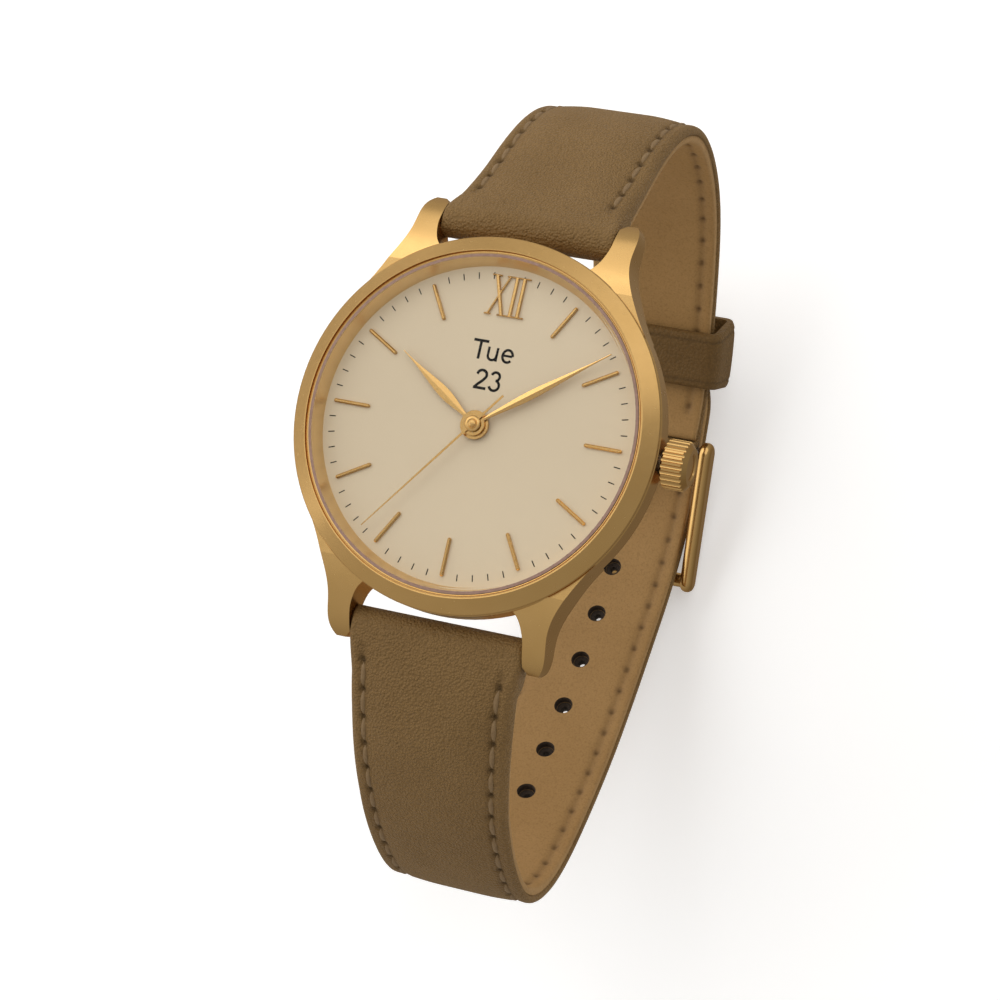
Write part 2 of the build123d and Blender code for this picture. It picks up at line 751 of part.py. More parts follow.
FLUTES = 24
CROWN_BORE = 1.3
with BuildPart() as crown:
    with BuildSketch(Plane.XZ):
        Polygon(
            (CROWN_IN, CROWN_Z + CROWN_BORE),
            (CROWN_IN, CROWN_Z + CROWN_R - 0.2),
            (CROWN_IN + 0.2, CROWN_Z + CROWN_R),
            (CROWN_OUT - 0.5, CROWN_Z + CROWN_R),
            (CROWN_OUT, CROWN_Z + CROWN_R - 0.6),
            (CROWN_OUT, CROWN_Z + 1.3),
            (CROWN_OUT - 0.15, CROWN_Z + 1.2),
            (CROWN_OUT - 0.15, CROWN_Z),
            (20.6, CROWN_Z),
            (20.6, CROWN_Z + STEM_R + SNUG),
            (20.0, CROWN_Z + STEM_R + SNUG),
            (20.0, CROWN_Z + CROWN_BORE),
            align=None,
        )
    revolve(axis=crown_axis)
    with BuildSketch(Plane.YZ.offset(CROWN_IN)):
        with Locations((0, CROWN_Z)):
            with PolarLocations(CROWN_R + 0.04, FLUTES):
                Circle(0.21)
    extrude(amount=CROWN_OUT - 0.35 - CROWN_IN, mode=Mode.SUBTRACT)
finish(crown, "crown")

with BuildPart() as crown_gasket:
    with BuildSketch(Plane.YZ.offset(CROWN_IN + 0.06)):
        with Locations((0, CROWN_Z)):
            Circle(CROWN_BORE - 0.03)
            Circle(TUBE_R + 0.03, mode=Mode.SUBTRACT)
    extrude(amount=0.3)
finish(crown_gasket, "crown_gasket")

SQUARE = 0.6
GROOVE_X, GROOVE_W, GROOVE_R = 10.6, 0.42, 0.22
with BuildPart() as stem:
    with BuildSketch(Plane.YZ.offset(STEM_IN)):
        with Locations((0, CROWN_Z)):
            Rectangle(SQUARE, SQUARE)
    extrude(amount=2.7)
    with BuildSketch(Plane.YZ.offset(STEM_IN + 2.7)):
        with Locations((0, CROWN_Z)):
            Circle(STEM_R)
    extrude(amount=20.6 - STEM_IN - 2.7)
    with BuildSketch(Plane.YZ.offset(GROOVE_X - GROOVE_W / 2)):
        with Locations((0, CROWN_Z)):
            Circle(STEM_R + 0.1)
            Circle(GROOVE_R, mode=Mode.SUBTRACT)
    extrude(amount=GROOVE_W, mode=Mode.SUBTRACT)
finish(stem, "stem")

CLUTCH_IN, CLUTCH_R, CLUTCH_GROOVE_R = 8.2, 0.9, 0.55
CLUTCH_GROOVE_X = 9.1
with BuildPart() as clutch_wheel:
    with BuildSketch(Plane.XZ):
        Polygon(
            (CLUTCH_IN, CROWN_Z + 0.5),
            (CLUTCH_IN, CROWN_Z + CLUTCH_R),
            (CLUTCH_GROOVE_X - 0.22, CROWN_Z + CLUTCH_R),
            (CLUTCH_GROOVE_X - 0.22, CROWN_Z + CLUTCH_GROOVE_R),
            (CLUTCH_GROOVE_X + 0.22, CROWN_Z + CLUTCH_GROOVE_R),
            (CLUTCH_GROOVE_X + 0.22, CROWN_Z + CLUTCH_R),
            (9.6, CROWN_Z + CLUTCH_R),
            (9.6, CROWN_Z + 0.4),
            (CLUTCH_IN + 0.2, CROWN_Z + 0.4),
            (CLUTCH_IN + 0.2, CROWN_Z + 0.5),
            align=None,
        )
    revolve(axis=crown_axis)
    # crown teeth on the inner end
    with BuildSketch(Plane.YZ.offset(CLUTCH_IN)):
        with Locations((0, CROWN_Z)):
            with PolarLocations(0.72, 12):
                Rectangle(0.5, 0.19)
    extrude(amount=0.2, mode=Mode.SUBTRACT)
    with BuildSketch(Plane.YZ.offset(CLUTCH_IN)):
        with Locations((0, CROWN_Z)):
            Rectangle(SQUARE + 0.08, SQUARE + 0.08)
    extrude(amount=1.5, mode=Mode.SUBTRACT)
finish(clutch_wheel, "clutch_wheel")


with BuildPart() as setting_lever:
    with BuildSketch(Plane.XY.offset(2.9)):
        with Locations(LEVER_PIVOT):
            Circle(0.48)
        with Locations((GROOVE_X, 0.44)):
            Circle(0.12)
        make_hull()
        with Locations(LEVER_PIVOT):
            Circle(PIVOT_PIN_R + 0.03, mode=Mode.SUBTRACT)
    extrude(amount=0.2)
finish(setting_lever, "setting_lever")

with BuildPart() as yoke:
    with BuildSketch(Plane.XY.offset(2.9)):
        with Locations(YOKE_PIVOT):
            Circle(0.48)
        with Locations((CLUTCH_GROOVE_X, -0.76)):
            Circle(0.14)
        make_hull()
        with Locations(YOKE_PIVOT):
            Circle(PIVOT_PIN_R + 0.03, mode=Mode.SUBTRACT)
    extrude(amount=0.2)
finish(yoke, "yoke")

# =====================================================================
# Spring bars: a tube with a sprung pin in each end
# =====================================================================
TUBE_HALF = LUG_GAP / 2 - 0.25
PIN_END = LUG_GAP / 2 + PIN_REACH
for side, bar_y in (("twelve", BAR_Y), ("six", -BAR_Y)):
    with BuildPart() as spring_bar:
        with BuildSketch(Plane.YZ.offset(-TUBE_HALF)):
            with Locations((bar_y, BAR_Z)):
                Circle(BAR_R)
        extrude(amount=2 * TUBE_HALF)
        for face in (-TUBE_HALF, 4.4):
            with BuildSketch(Plane.YZ.offset(face)):
                with Locations((bar_y, BAR_Z)):
                    Circle(PIN_R + FIT)
            extrude(amount=TUBE_HALF - 4.4, mode=Mode.SUBTRACT)
    finish(spring_bar, f"spring_bar_{side}")
    for hand, start in (("left", -PIN_END), ("right", PIN_END - PIN_LENGTH)):
        with BuildPart() as bar_pin:
            with BuildSketch(Plane.YZ.offset(start)):
                with Locations((bar_y, BAR_Z)):
                    Circle(PIN_R)
            extrude(amount=PIN_LENGTH)
        finish(bar_pin, f"bar_pin_{side}_{hand}")

# =====================================================================
# Strap: each half is a leather outer over a lining
# =====================================================================
# the lining's inner face, from the spring bar outwards, as (y, z)
TWELVE_PATH = [
    (19.84, 0.4),
    (24.4, -4.0),
    (30.3, -8.9),
    (34.9, -14.5),
    (36.9, -20.7),
    (36.2, -27.6),
    (32.6, -35.0),
    (25.8, -41.2),
    (16.1, -46.8),
    (8.5, -47.85),
]
SIX_PATH = [
    (-20.0, 0.28),
    (-29.7, -3.5),
    (-36.2, -8.9),
    (-40.6, -15.4),
    (-42.6, -22.0),
    (-41.2, -28.0),
    (-34.1, -35.9),
    (-24.5, -42.5),
    (-13.1, -47.7),
    (-5.0, -50.6),
    (2.0, -51.5),
    (8.5, -51.0),
    (16.9, -49.0),
    (21.0, -47.3),
]
STATIONS = 24


def strap_face_points(path, outward, depth, start=0.0, end=1.0):
    """Points beside a strap path, depth(share) out from it, outward being +1 or -1 for the side."""
    points = []
    for station in range(STATIONS + 1):
        share = start + (end - start) * station / STATIONS
        place = path @ share
        heading = path % share
        distance = depth(share)
        points.append((place.X - outward * heading.Y * distance, place.Y + outward * heading.X * distance))
    return points


def eased(share, near, far, over):
    """A thickness that eases from near to far over the first part of a strap's length."""
    t = min(share / over, 1)
    return near + (far - near) * t * t * (3 - 2 * t)


def plan_outline(widths):
    """The strap's outline seen along its length: (z, half width) stations mirrored about x = 0."""
    right = [(width, height) for height, width in widths]
    left = [(-width, height) for height, width in reversed(widths)]
    return right + left


def twelve_depth(share):
    """Thickness of the buckle half, padded near the lugs."""
    return eased(share, 3.4, STRAP_T, 0.45)


def six_depth(share):
    """Thickness of the tail half, padded near the lugs."""
    return eased(share, 3.2, STRAP_T - 0.15, 0.25)


def seam_depth(share):
    """The lining's thickness."""
    return LINING_T


def no_depth(share):
    """The inner face itself."""
    return 0.0


TWELVE_WIDTHS = [
    (5.0, LUG_HALF_WIDTH),
    (1.0, LUG_HALF_WIDTH),
    (-20.0, 8.3),
    (-44.0, TAIL_HALF_WIDTH),
    (-60.0, TAIL_HALF_WIDTH),
]
SIX_WIDTHS = [
    (5.0, LUG_HALF_WIDTH),
    (1.0, LUG_HALF_WIDTH),
    (-8.0, 8.0),
    (-44.0, TAIL_HALF_WIDTH),
    (-60.0, TAIL_HALF_WIDTH),
]
HALF_BLOCK = LUG_HALF_WIDTH + 1
DEEP = 60

twelve_path = Spline(*TWELVE_PATH, mode=Mode.PRIVATE)
six_path = Spline(*SIX_PATH, mode=Mode.PRIVATE)
TWELVE_LINING_FROM = 4.5 / twelve_path.length
TWELVE_LINING_TO = 1 - 1.2 / twelve_path.length
SIX_LINING_FROM = 4.5 / six_path.length

# the buckle half's leather wraps the bar at each end, and is slit there for the tongue's eye
with BuildPart() as strap_twelve_outer:
    with BuildSketch(Plane.YZ):
        with BuildLine():
            seam = Spline(*strap_face_points(twelve_path, 1, seam_depth))
            face = Spline(*strap_face_points(twelve_path, 1, twelve_depth))
            Line(seam @ 0, face @ 0)
            Line(seam @ 1, face @ 1)
        make_face()
        with Locations((BAR_Y, BAR_Z)):
            Circle(LUG_END_R)
        with Locations(BUCKLE_BAR):
            Circle(BUCKLE_END_R)
        with Locations((BAR_Y, BAR_Z)):
            Circle(BAR_R + FIT, mode=Mode.SUBTRACT)
        with Locations(BUCKLE_BAR):
            Circle(BUCKLE_BAR_R + FIT, mode=Mode.SUBTRACT)
        with BuildLine():
            lining_face = Spline(
                *strap_face_points(twelve_path, 1, no_depth, TWELVE_LINING_FROM, TWELVE_LINING_TO)
            )
            seam_face = Spline(
                *strap_face_points(twelve_path, 1, seam_depth, TWELVE_LINING_FROM, TWELVE_LINING_TO)
            )
            Line(lining_face @ 0, seam_face @ 0)
            Line(lining_face @ 1, seam_face @ 1)
        make_face(mode=Mode.SUBTRACT)
    extrude(amount=HALF_BLOCK, both=True)
    with BuildSketch(Plane.XZ):
        Polygon(*plan_outline(TWELVE_WIDTHS), align=None)
    extrude(amount=DEEP, both=True, mode=Mode.INTERSECT)
    with BuildSketch(Plane.YZ):
        with Locations((BUCKLE_BAR[0] - 0.4, BUCKLE_BAR[1])):
            Rectangle(5.4, 4.5)
    extrude(amount=1.5, both=True, mode=Mode.SUBTRACT)
finish(strap_twelve_outer, "strap_twelve_outer")

with BuildPart() as strap_twelve_lining:
    with BuildSketch(Plane.YZ):
        with BuildLine():
            lining_face = Spline(
                *strap_face_points(twelve_path, 1, no_depth, TWELVE_LINING_FROM, TWELVE_LINING_TO)
            )
            seam_face = Spline(
                *strap_face_points(twelve_path, 1, seam_depth, TWELVE_LINING_FROM, TWELVE_LINING_TO)
            )
            Line(lining_face @ 0, seam_face @ 0)
            Line(lining_face @ 1, seam_face @ 1)
        make_face()
    extrude(amount=HALF_BLOCK, both=True)
    with BuildSketch(Plane.XZ):
        Polygon(*plan_outline(TWELVE_WIDTHS), align=None)
    extrude(amount=DEEP, both=True, mode=Mode.INTERSECT)
finish(strap_twelve_lining, "strap_twelve_lining")


def hole_planes():
    """A plane at each buckle hole, with its normal through the strap; the first is nearest the tip."""
    planes = []
    for hole in range(HOLES):
        share = 1 - (FIRST_HOLE + hole * HOLE_PITCH) / six_path.length
        place = six_path @ share
        heading = six_path % share
        planes.append(
            Plane(
                origin=(0, place.X, place.Y),
                x_dir=(0, heading.X, heading.Y),
                z_dir=(0, heading.Y, -heading.X),
            )
        )
    return planes


TONGUE_SLOT = 5.6  # the hole in use is pulled long by the tongue
TIP_REACH = 8.5  # the length over which the tail rounds to its tip
tip = six_path @ 1
tip_heading = six_path % 1
with BuildPart() as tip_waste:
    with BuildSketch(
        Plane(
            origin=(0, tip.X, tip.Y),
            x_dir=(1, 0, 0),
            z_dir=(0, tip_heading.Y, -tip_heading.X),
        )
    ):
        with Locations((0, (TIP_REACH - 1) / 2)):
            Rectangle(2 * TAIL_HALF_WIDTH + 4, TIP_REACH + 1)
        with Locations((0, TIP_REACH)):
            Ellipse(TAIL_HALF_WIDTH, TIP_REACH, mode=Mode.SUBTRACT)
    extrude(amount=5, both=True)
with BuildPart() as strap_six_outer:
    with BuildSketch(Plane.YZ):
        with BuildLine():
            seam = Spline(*strap_face_points(six_path, -1, seam_depth))
            face = Spline(*strap_face_points(six_path, -1, six_depth))
            Line(seam @ 0, face @ 0)
            Line(seam @ 1, face @ 1)
        make_face()
        with Locations((-BAR_Y, BAR_Z)):
            Circle(LUG_END_R)
            Circle(BAR_R + FIT, mode=Mode.SUBTRACT)
        with BuildLine():
            lining_face = Spline(*strap_face_points(six_path, -1, no_depth, SIX_LINING_FROM))
            seam_face = Spline(*strap_face_points(six_path, -1, seam_depth, SIX_LINING_FROM))
            Line(lining_face @ 0, seam_face @ 0)
            Line(lining_face @ 1, seam_face @ 1)
        make_face(mode=Mode.SUBTRACT)
    extrude(amount=HALF_BLOCK, both=True)
    with BuildSketch(Plane.XZ):
        Polygon(*plan_outline(SIX_WIDTHS), align=None)
    extrude(amount=DEEP, both=True, mode=Mode.INTERSECT)
    for number, plane in enumerate(hole_planes()):
        with BuildSketch(plane):
            if number == 0:
                SlotOverall(TONGUE_SLOT, 2 * HOLE_R)
            else:
                Circle(HOLE_R)
        extrude(amount=4, both=True, mode=Mode.SUBTRACT)
    add(tip_waste.part, mode=Mode.SUBTRACT)
finish(strap_six_outer, "strap_six_outer")

with BuildPart() as strap_six_lining:
    with BuildSketch(Plane.YZ):
        with BuildLine():
            lining_face = Spline(*strap_face_points(six_path, -1, no_depth, SIX_LINING_FROM))
            seam_face = Spline(*strap_face_points(six_path, -1, seam_depth, SIX_LINING_FROM))
            Line(lining_face @ 0, seam_face @ 0)
            Line(lining_face @ 1, seam_face @ 1)
        make_face()
    extrude(amount=HALF_BLOCK, both=True)
    with BuildSketch(Plane.XZ):
        Polygon(*plan_outline(SIX_WIDTHS), align=None)
    extrude(amount=DEEP, both=True, mode=Mode.INTERSECT)
    for number, plane in enumerate(hole_planes()):
        with BuildSketch(plane):
            if number == 0:
                SlotOverall(TONGUE_SLOT, 2 * HOLE_R)
            else:
                Circle(HOLE_R)
        extrude(amount=4, both=True, mode=Mode.SUBTRACT)
    add(tip_waste.part, mode=Mode.SUBTRACT)
finish(strap_six_lining, "strap_six_lining")

# =====================================================================
# Keeper and buckle
# =====================================================================
KEEPER_IN = STRAP_ARC_R - 0.25
KEEPER_DEEP = 29.0
KEEPER_WALL = 1.1
KEEPER_CORNER = 0.4
KEEPER_HALF = TAIL_HALF_WIDTH + 0.35
keeper_from = radians(KEEPER_AT - KEEPER_WIDTH / 2)
keeper_plane = Plane(
    origin=(0, *KEEPER_CENTRE),
    x_dir=(1, 0, 0),
    z_dir=(0, cos(keeper_from), sin(keeper_from)),
)
with BuildPart() as keeper:
    with BuildSketch(keeper_plane):
        with Locations((0, (KEEPER_IN + KEEPER_DEEP) / 2)):
            RectangleRounded(
                2 * (KEEPER_HALF + KEEPER_WALL),
                KEEPER_DEEP - KEEPER_IN + 2 * KEEPER_WALL,
                KEEPER_CORNER + KEEPER_WALL,
            )
            RectangleRounded(2 * KEEPER_HALF, KEEPER_DEEP - KEEPER_IN, KEEPER_CORNER, mode=Mode.SUBTRACT)
    revolve(axis=Axis((0, *KEEPER_CENTRE), (1, 0, 0)), revolution_arc=KEEPER_WIDTH)
finish(keeper, "keeper")

with BuildPart() as buckle_frame:
    with BuildSketch(Plane.YZ.offset(ARM_IN)):
        with Locations(BUCKLE_BAR):
            Circle(1.45)
        with Locations((FAR_BAR[0], FAR_BAR[1] + 0.2)):
            Circle(1.25)
        make_hull()
    extrude(amount=ARM_OUT - ARM_IN)
    fillet(buckle_frame.edges(), radius=0.7)
    mirror(about=Plane.YZ)
    with BuildSketch(Plane.YZ):
        with Locations(FAR_BAR):
            Circle(FAR_BAR_R)
    extrude(amount=ARM_IN + 0.6, both=True)
    with BuildSketch(Plane.YZ):
        with Locations(BUCKLE_BAR):
            Circle(PIN_R + FIT)
    extrude(amount=ARM_OUT - 0.2, both=True, mode=Mode.SUBTRACT)
finish(buckle_frame, "buckle_frame")

with BuildPart() as buckle_bar:
    with BuildSketch(Plane.YZ):
        with Locations(BUCKLE_BAR):
            Circle(BUCKLE_BAR_R)
    extrude(amount=ARM_IN - 0.15, both=True)
    with BuildSketch(Plane.YZ):
        with Locations(BUCKLE_BAR):
            Circle(PIN_R)
    extrude(amount=ARM_OUT - 0.25, both=True)
finish(buckle_bar, "buckle_bar")

TONGUE_EYE_R = 1.2
TONGUE_T = 0.8
TONGUE_W = 1.5
with BuildPart() as buckle_tongue:
    with BuildSketch(Plane.YZ):
        with BuildLine() as tongue_line:
            FilletPolyline((7.4, -49.6), (2.4, -50.25), (-1.8, -54.45), (-7.2, -54.85), radius=1.0)
        trace(tongue_line.edges(), line_width=TONGUE_T)
    extrude(amount=TONGUE_W / 2, both=True)
    with BuildSketch(Plane.YZ):
        with Locations(BUCKLE_BAR):
            Circle(TONGUE_EYE_R)
    extrude(amount=TONGUE_W / 2 + 0.4, both=True)
    with BuildSketch(Plane.YZ):
        with Locations(BUCKLE_BAR):
            Circle(BUCKLE_BAR_R + 0.08)
    extrude(amount=3, both=True, mode=Mode.SUBTRACT)
finish(buckle_tongue, "buckle_tongue")
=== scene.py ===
"""Looks, lights and camera for the wristwatch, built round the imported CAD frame."""

import math
import random

import bmesh
import bpy
import numpy as np
from mathutils import Matrix, Vector


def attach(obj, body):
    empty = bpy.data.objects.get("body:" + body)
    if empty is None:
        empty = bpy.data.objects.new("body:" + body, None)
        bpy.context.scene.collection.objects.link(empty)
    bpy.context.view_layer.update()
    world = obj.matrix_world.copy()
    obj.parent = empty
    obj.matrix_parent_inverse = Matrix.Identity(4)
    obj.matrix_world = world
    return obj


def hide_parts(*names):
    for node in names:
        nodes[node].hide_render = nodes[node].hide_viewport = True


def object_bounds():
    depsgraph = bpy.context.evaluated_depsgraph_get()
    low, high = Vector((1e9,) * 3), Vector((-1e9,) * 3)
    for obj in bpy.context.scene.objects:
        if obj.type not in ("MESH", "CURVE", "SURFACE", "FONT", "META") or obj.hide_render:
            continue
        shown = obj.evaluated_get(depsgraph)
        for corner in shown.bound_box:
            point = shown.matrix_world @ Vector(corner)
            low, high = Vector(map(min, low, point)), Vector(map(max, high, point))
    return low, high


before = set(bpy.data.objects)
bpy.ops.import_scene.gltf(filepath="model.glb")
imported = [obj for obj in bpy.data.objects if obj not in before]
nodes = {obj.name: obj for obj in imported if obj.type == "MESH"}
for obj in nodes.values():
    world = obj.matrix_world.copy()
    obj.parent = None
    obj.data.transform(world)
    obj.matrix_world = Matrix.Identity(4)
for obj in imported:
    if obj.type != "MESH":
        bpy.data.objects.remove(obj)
cad_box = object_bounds()
MM = 0.001
random.seed(7)

# ---- strap and buckle dimensions, in millimetres; the paths and bars are the CAD's ----
BAR_Y, BAR_Z, BAR_R = 20.9, 1.6, 0.8
PIN_R = 0.46
BAR_HALF_LENGTH = 8.6
FULL_HALF_WIDTH = 8.6  # the strap width that the column insets are given for
BUCKLE_BAR = (8.5, -49.3)
BUCKLE_BAR_R = 0.77
LINING_T = 0.8
STITCH_INSET = 1.55
STITCH_PITCH = 2.75
STITCH_LENGTH = 2.6
HOLE_R = 0.95
FIRST_HOLE = 21.6
HOLE_PITCH = 6.1
HOLES = 7
TONGUE_SLOT = 5.6
OUTER_HOLE_SHARE = 0.42  # how wide a free hole's outer mouth is, next to its bore
TIP_REACH = 8.5  # the length over which the free end rounds off
LINING_FROM = 4.5  # the lining starts this far along each half
LINING_INSET = 0.22  # how far the lining stands back from the outer leather's edge
BUCKLE_ROUND = 1.45  # half the thickness of the fold round the buckle's bar
COLUMN_INSETS = (
    0, 0.06, 0.2, 0.4, 0.65, 0.9, 1.1, 1.25, 1.4, 1.55, 1.7, 1.85, 2.0, 2.2, 2.6, 3.2, 4.0, 5.0, 6.2,
)
PAD_REACH = 5.2  # how far in from its edge the strap's padding rises
GROOVE_DEPTH = 0.16  # the groove that the stitches lie in
SHARP_ANGLE, KEEPER_SHARP_ANGLE = 50, 60  # in degrees; steeper edges stay sharp
TWELVE_PATH = [
    (19.84, 0.4), (24.4, -4), (30.3, -8.9), (34.9, -14.5), (36.9, -20.7),
    (36.2, -27.6), (32.6, -35), (25.8, -41.2), (16.1, -46.8), (8.5, -47.85),
]
SIX_PATH = [
    (-20, 0.28), (-29.7, -3.5), (-36.2, -8.9), (-40.6, -15.4), (-42.6, -22),
    (-41.2, -28), (-34.1, -35.9), (-24.5, -42.5), (-13.1, -47.7), (-5, -50.6),
    (2, -51.5), (8.5, -51), (16.9, -49), (21, -47.3),
]
TWELVE_WIDTHS = ([-60, -44, -20, -1, 0.5, 5], [7.2, 7.2, 8.3, 8.62, 8.92, 8.92])
SIX_WIDTHS = ([-60, -44, -8, -1, 0, 5], [7.2, 7.2, 8.0, 8.5, 8.92, 8.92])


# =====================================================================
# Materials
# =====================================================================
class Look:
    """A node material with one Principled shader, and short calls for adding nodes to it."""

    def __init__(self, name, colour, roughness, metallic=0.0, **settings):
        self.material = bpy.data.materials.new(name)
        self.material.use_nodes = True
        self.tree = self.material.node_tree
        self.shader = self.tree.nodes["Principled BSDF"]
        self.shader.inputs["Base Color"].default_value = (*colour, 1)
        self.shader.inputs["Roughness"].default_value = roughness
        self.shader.inputs["Metallic"].default_value = metallic
        for key, value in settings.items():
            self.shader.inputs[key.replace("_", " ")].default_value = value
        place = self.add("ShaderNodeTexCoord")
        scaled = self.add("ShaderNodeVectorMath", operation="SCALE")
        scaled.inputs["Scale"].default_value = 1000.0
        self.link(place.outputs["Object"], scaled.inputs[0])
        self.place = scaled.outputs[0]
        self.height = None

    def add(self, kind, **values):
        made = self.tree.nodes.new(kind)
        for key, value in values.items():
            setattr(made, key, value)
        return made

    def link(self, source, target):
        self.tree.links.new(source, target)

    def stretched(self, stretch):
        made = self.add("ShaderNodeVectorMath", operation="MULTIPLY")
        made.inputs[1].default_value = stretch
        self.link(self.place, made.inputs[0])
        return made.outputs[0]

    def noise(self, scale, detail=3.0, roughness=0.55, stretch=None):
        made = self.add("ShaderNodeTexNoise")
        made.inputs["Scale"].default_value = scale
        made.inputs["Detail"].default_value = detail
        made.inputs["Roughness"].default_value = roughness
        self.link(self.place if stretch is None else self.stretched(stretch), made.inputs["Vector"])
        return made.outputs["Fac"]

    def cells(self, scale, feature="F1", stretch=None):
        made = self.add("ShaderNodeTexVoronoi", feature=feature)
        made.inputs["Scale"].default_value = scale
        self.link(self.place if stretch is None else self.stretched(stretch), made.inputs["Vector"])
        return made.outputs["Distance"]

    def attribute(self, name):
        made = self.add("ShaderNodeAttribute", attribute_name=name)
        return made.outputs["Fac"]

    def ranged(self, source, low, high, to_low, to_high):
        made = self.add("ShaderNodeMapRange")
        for key, value in (("From Min", low), ("From Max", high), ("To Min", to_low), ("To Max", to_high)):
            made.inputs[key].default_value = value
        self.link(source, made.inputs["Value"])
        return made.outputs["Result"]

    def maths(self, operation, first, second):
        made = self.add("ShaderNodeMath", operation=operation)
        for socket, value in ((made.inputs[0], first), (made.inputs[1], second)):
            if isinstance(value, (int, float)):
                socket.default_value = value
            else:
                self.link(value, socket)
        return made.outputs[0]

    def ramp(self, source, *stops):
        made = self.add("ShaderNodeValToRGB")
        elements = made.color_ramp.elements
        while len(elements) < len(stops):
            elements.new(0.5)
        for element, (position, colour) in zip(elements, stops):
            element.position = position
            element.color = (*colour, 1)
        self.link(source, made.inputs["Fac"])
        return made.outputs["Color"]

    def mixed(self, share, first, second):
        made = self.add("ShaderNodeMix", data_type="RGBA")
        for socket, value in ((made.inputs[0], share), (made.inputs[6], first), (made.inputs[7], second)):
            if isinstance(value, (int, float)):
                socket.default_value = value
            elif isinstance(value, tuple):
                socket.default_value = (*value, 1)
            else:
                self.link(value, socket)
        return made.outputs[2]

    def colour(self, source):
        self.link(source, self.shader.inputs["Base Color"])

    def rough(self, source):
        self.link(source, self.shader.inputs["Roughness"])

    def bump(self, source, distance, strength=1.0):
        made = self.add("ShaderNodeBump")
        made.inputs["Strength"].default_value = strength
        made.inputs["Distance"].default_value = distance * MM
        self.link(source, made.inputs["Height"])
        if self.height is not None:
            self.link(self.height, made.inputs["Normal"])
        self.height = made.outputs["Normal"]
        self.link(self.height, self.shader.inputs["Normal"])


def metal(name, light, dark, roughness, spread, grain, depth, stretch=None):
    """A metal with a slow change of tone and a fine finish."""
    look = Look(name, light, roughness, metallic=1.0)
    look.colour(look.ramp(look.noise(0.22, 2), (0.35, dark), (0.65, light)))
    fine = look.noise(grain, 4, stretch=stretch)
    look.rough(look.ranged(fine, 0.3, 0.7, roughness - spread, roughness + spread))
    look.bump(fine, depth)
    return look


def plastic(name, light, dark, roughness, grain=3.0, depth=0.01, **settings):
    """A moulded or rubber surface with a faint texture."""
    look = Look(name, light, roughness, **settings)
    look.colour(look.ramp(look.noise(grain, 4), (0.35, dark), (0.65, light)))
    look.rough(look.ranged(look.noise(grain * 2, 3), 0.3, 0.7, roughness - 0.06, roughness + 0.06))
    look.bump(look.noise(grain * 4, 3), depth)
    return look


GOLD, GOLD_DEEP = (0.655, 0.408, 0.152), (0.63, 0.388, 0.14)
# name: lighter tone, darker tone, roughness, its spread, grain per mm, grain depth in mm, stretch
METALS = {
    "gold_polished": (GOLD, GOLD_DEEP, 0.19, 0.02, 1.6, 0.0002),
    "gold_rehaut": ((0.78, 0.58, 0.32), (0.76, 0.56, 0.3), 0.3, 0.02, 1.8, 0.0003),
    "gold_satin": (GOLD, GOLD_DEEP, 0.25, 0.025, 1.8, 0.0003),
    "steel_bright": ((0.68, 0.67, 0.65), (0.6, 0.59, 0.57), 0.22, 0.05, 4.0, 0.003),
    "steel": ((0.55, 0.54, 0.52), (0.44, 0.43, 0.41), 0.3, 0.06, 6.0, 0.004),
    "train_brass": ((0.78, 0.57, 0.25), (0.66, 0.46, 0.17), 0.28, 0.05, 8.0, 0.003),
    "coil_copper": ((0.78, 0.36, 0.17), (0.6, 0.24, 0.1), 0.35, 0.06, 9.0, 0.02, (0.2, 4, 4)),
}
# name: lighter tone, darker tone, roughness
PLASTICS = {
    "plate_plastic": ((0.035, 0.035, 0.04), (0.02, 0.02, 0.024), 0.42),
    "ring_plastic": ((0.55, 0.54, 0.5), (0.45, 0.44, 0.41), 0.5),
    "board_green": ((0.02, 0.16, 0.07), (0.012, 0.1, 0.045), 0.35),
    "chip_black": ((0.018, 0.018, 0.02), (0.01, 0.01, 0.012), 0.5),
    "gasket_rubber": ((0.34, 0.2, 0.15), (0.27, 0.155, 0.11), 0.45),
    "black_rubber": ((0.02, 0.02, 0.02), (0.012, 0.012, 0.012), 0.6),
}
looks = {name: metal(name, *values) for name, values in METALS.items()}
looks.update({name: plastic(name, *values) for name, values in PLASTICS.items()})


def dial_look():
    """Matt cream lacquer with a very fine grain."""
    look = Look("dial_lacquer", (0.66, 0.545, 0.376), 0.45, Specular_IOR_Level=0.3)
    tone = look.noise(0.06, 2)
    look.colour(look.ramp(tone, (0.3, (0.65, 0.535, 0.37)), (0.7, (0.675, 0.557, 0.386))))
    grain = look.noise(9.0, 3, 0.7)
    look.rough(look.ranged(grain, 0.3, 0.7, 0.36, 0.5))
    look.bump(grain, 0.002)
    return look


looks["dial_lacquer"] = dial_look()
ink_look = plastic(
    "dial_ink", (0.016, 0.014, 0.012), (0.01, 0.009, 0.008), 0.5, 6.0, 0.002, Specular_IOR_Level=0.06
)


def glass_look():
    """Clear mineral glass that lets lamps through to the dial."""
    look = Look("crystal_glass", (1, 1, 1), 0.0, Transmission_Weight=1.0, IOR=1.15)
    look.rough(look.ranged(look.noise(0.4, 2), 0.0, 1.0, 0.0, 0.02))
    clear = look.add("ShaderNodeBsdfTransparent")
    path = look.add("ShaderNodeLightPath")
    both = look.add("ShaderNodeMixShader")
    unbent = look.maths("MAXIMUM", path.outputs["Is Shadow Ray"], path.outputs["Is Diffuse Ray"])
    look.link(unbent, both.inputs[0])
    look.link(look.shader.outputs[0], both.inputs[1])
    look.link(clear.outputs[0], both.inputs[2])
    look.link(both.outputs[0], look.tree.nodes["Material Output"].inputs["Surface"])
    return look


looks["crystal_glass"] = glass_look()


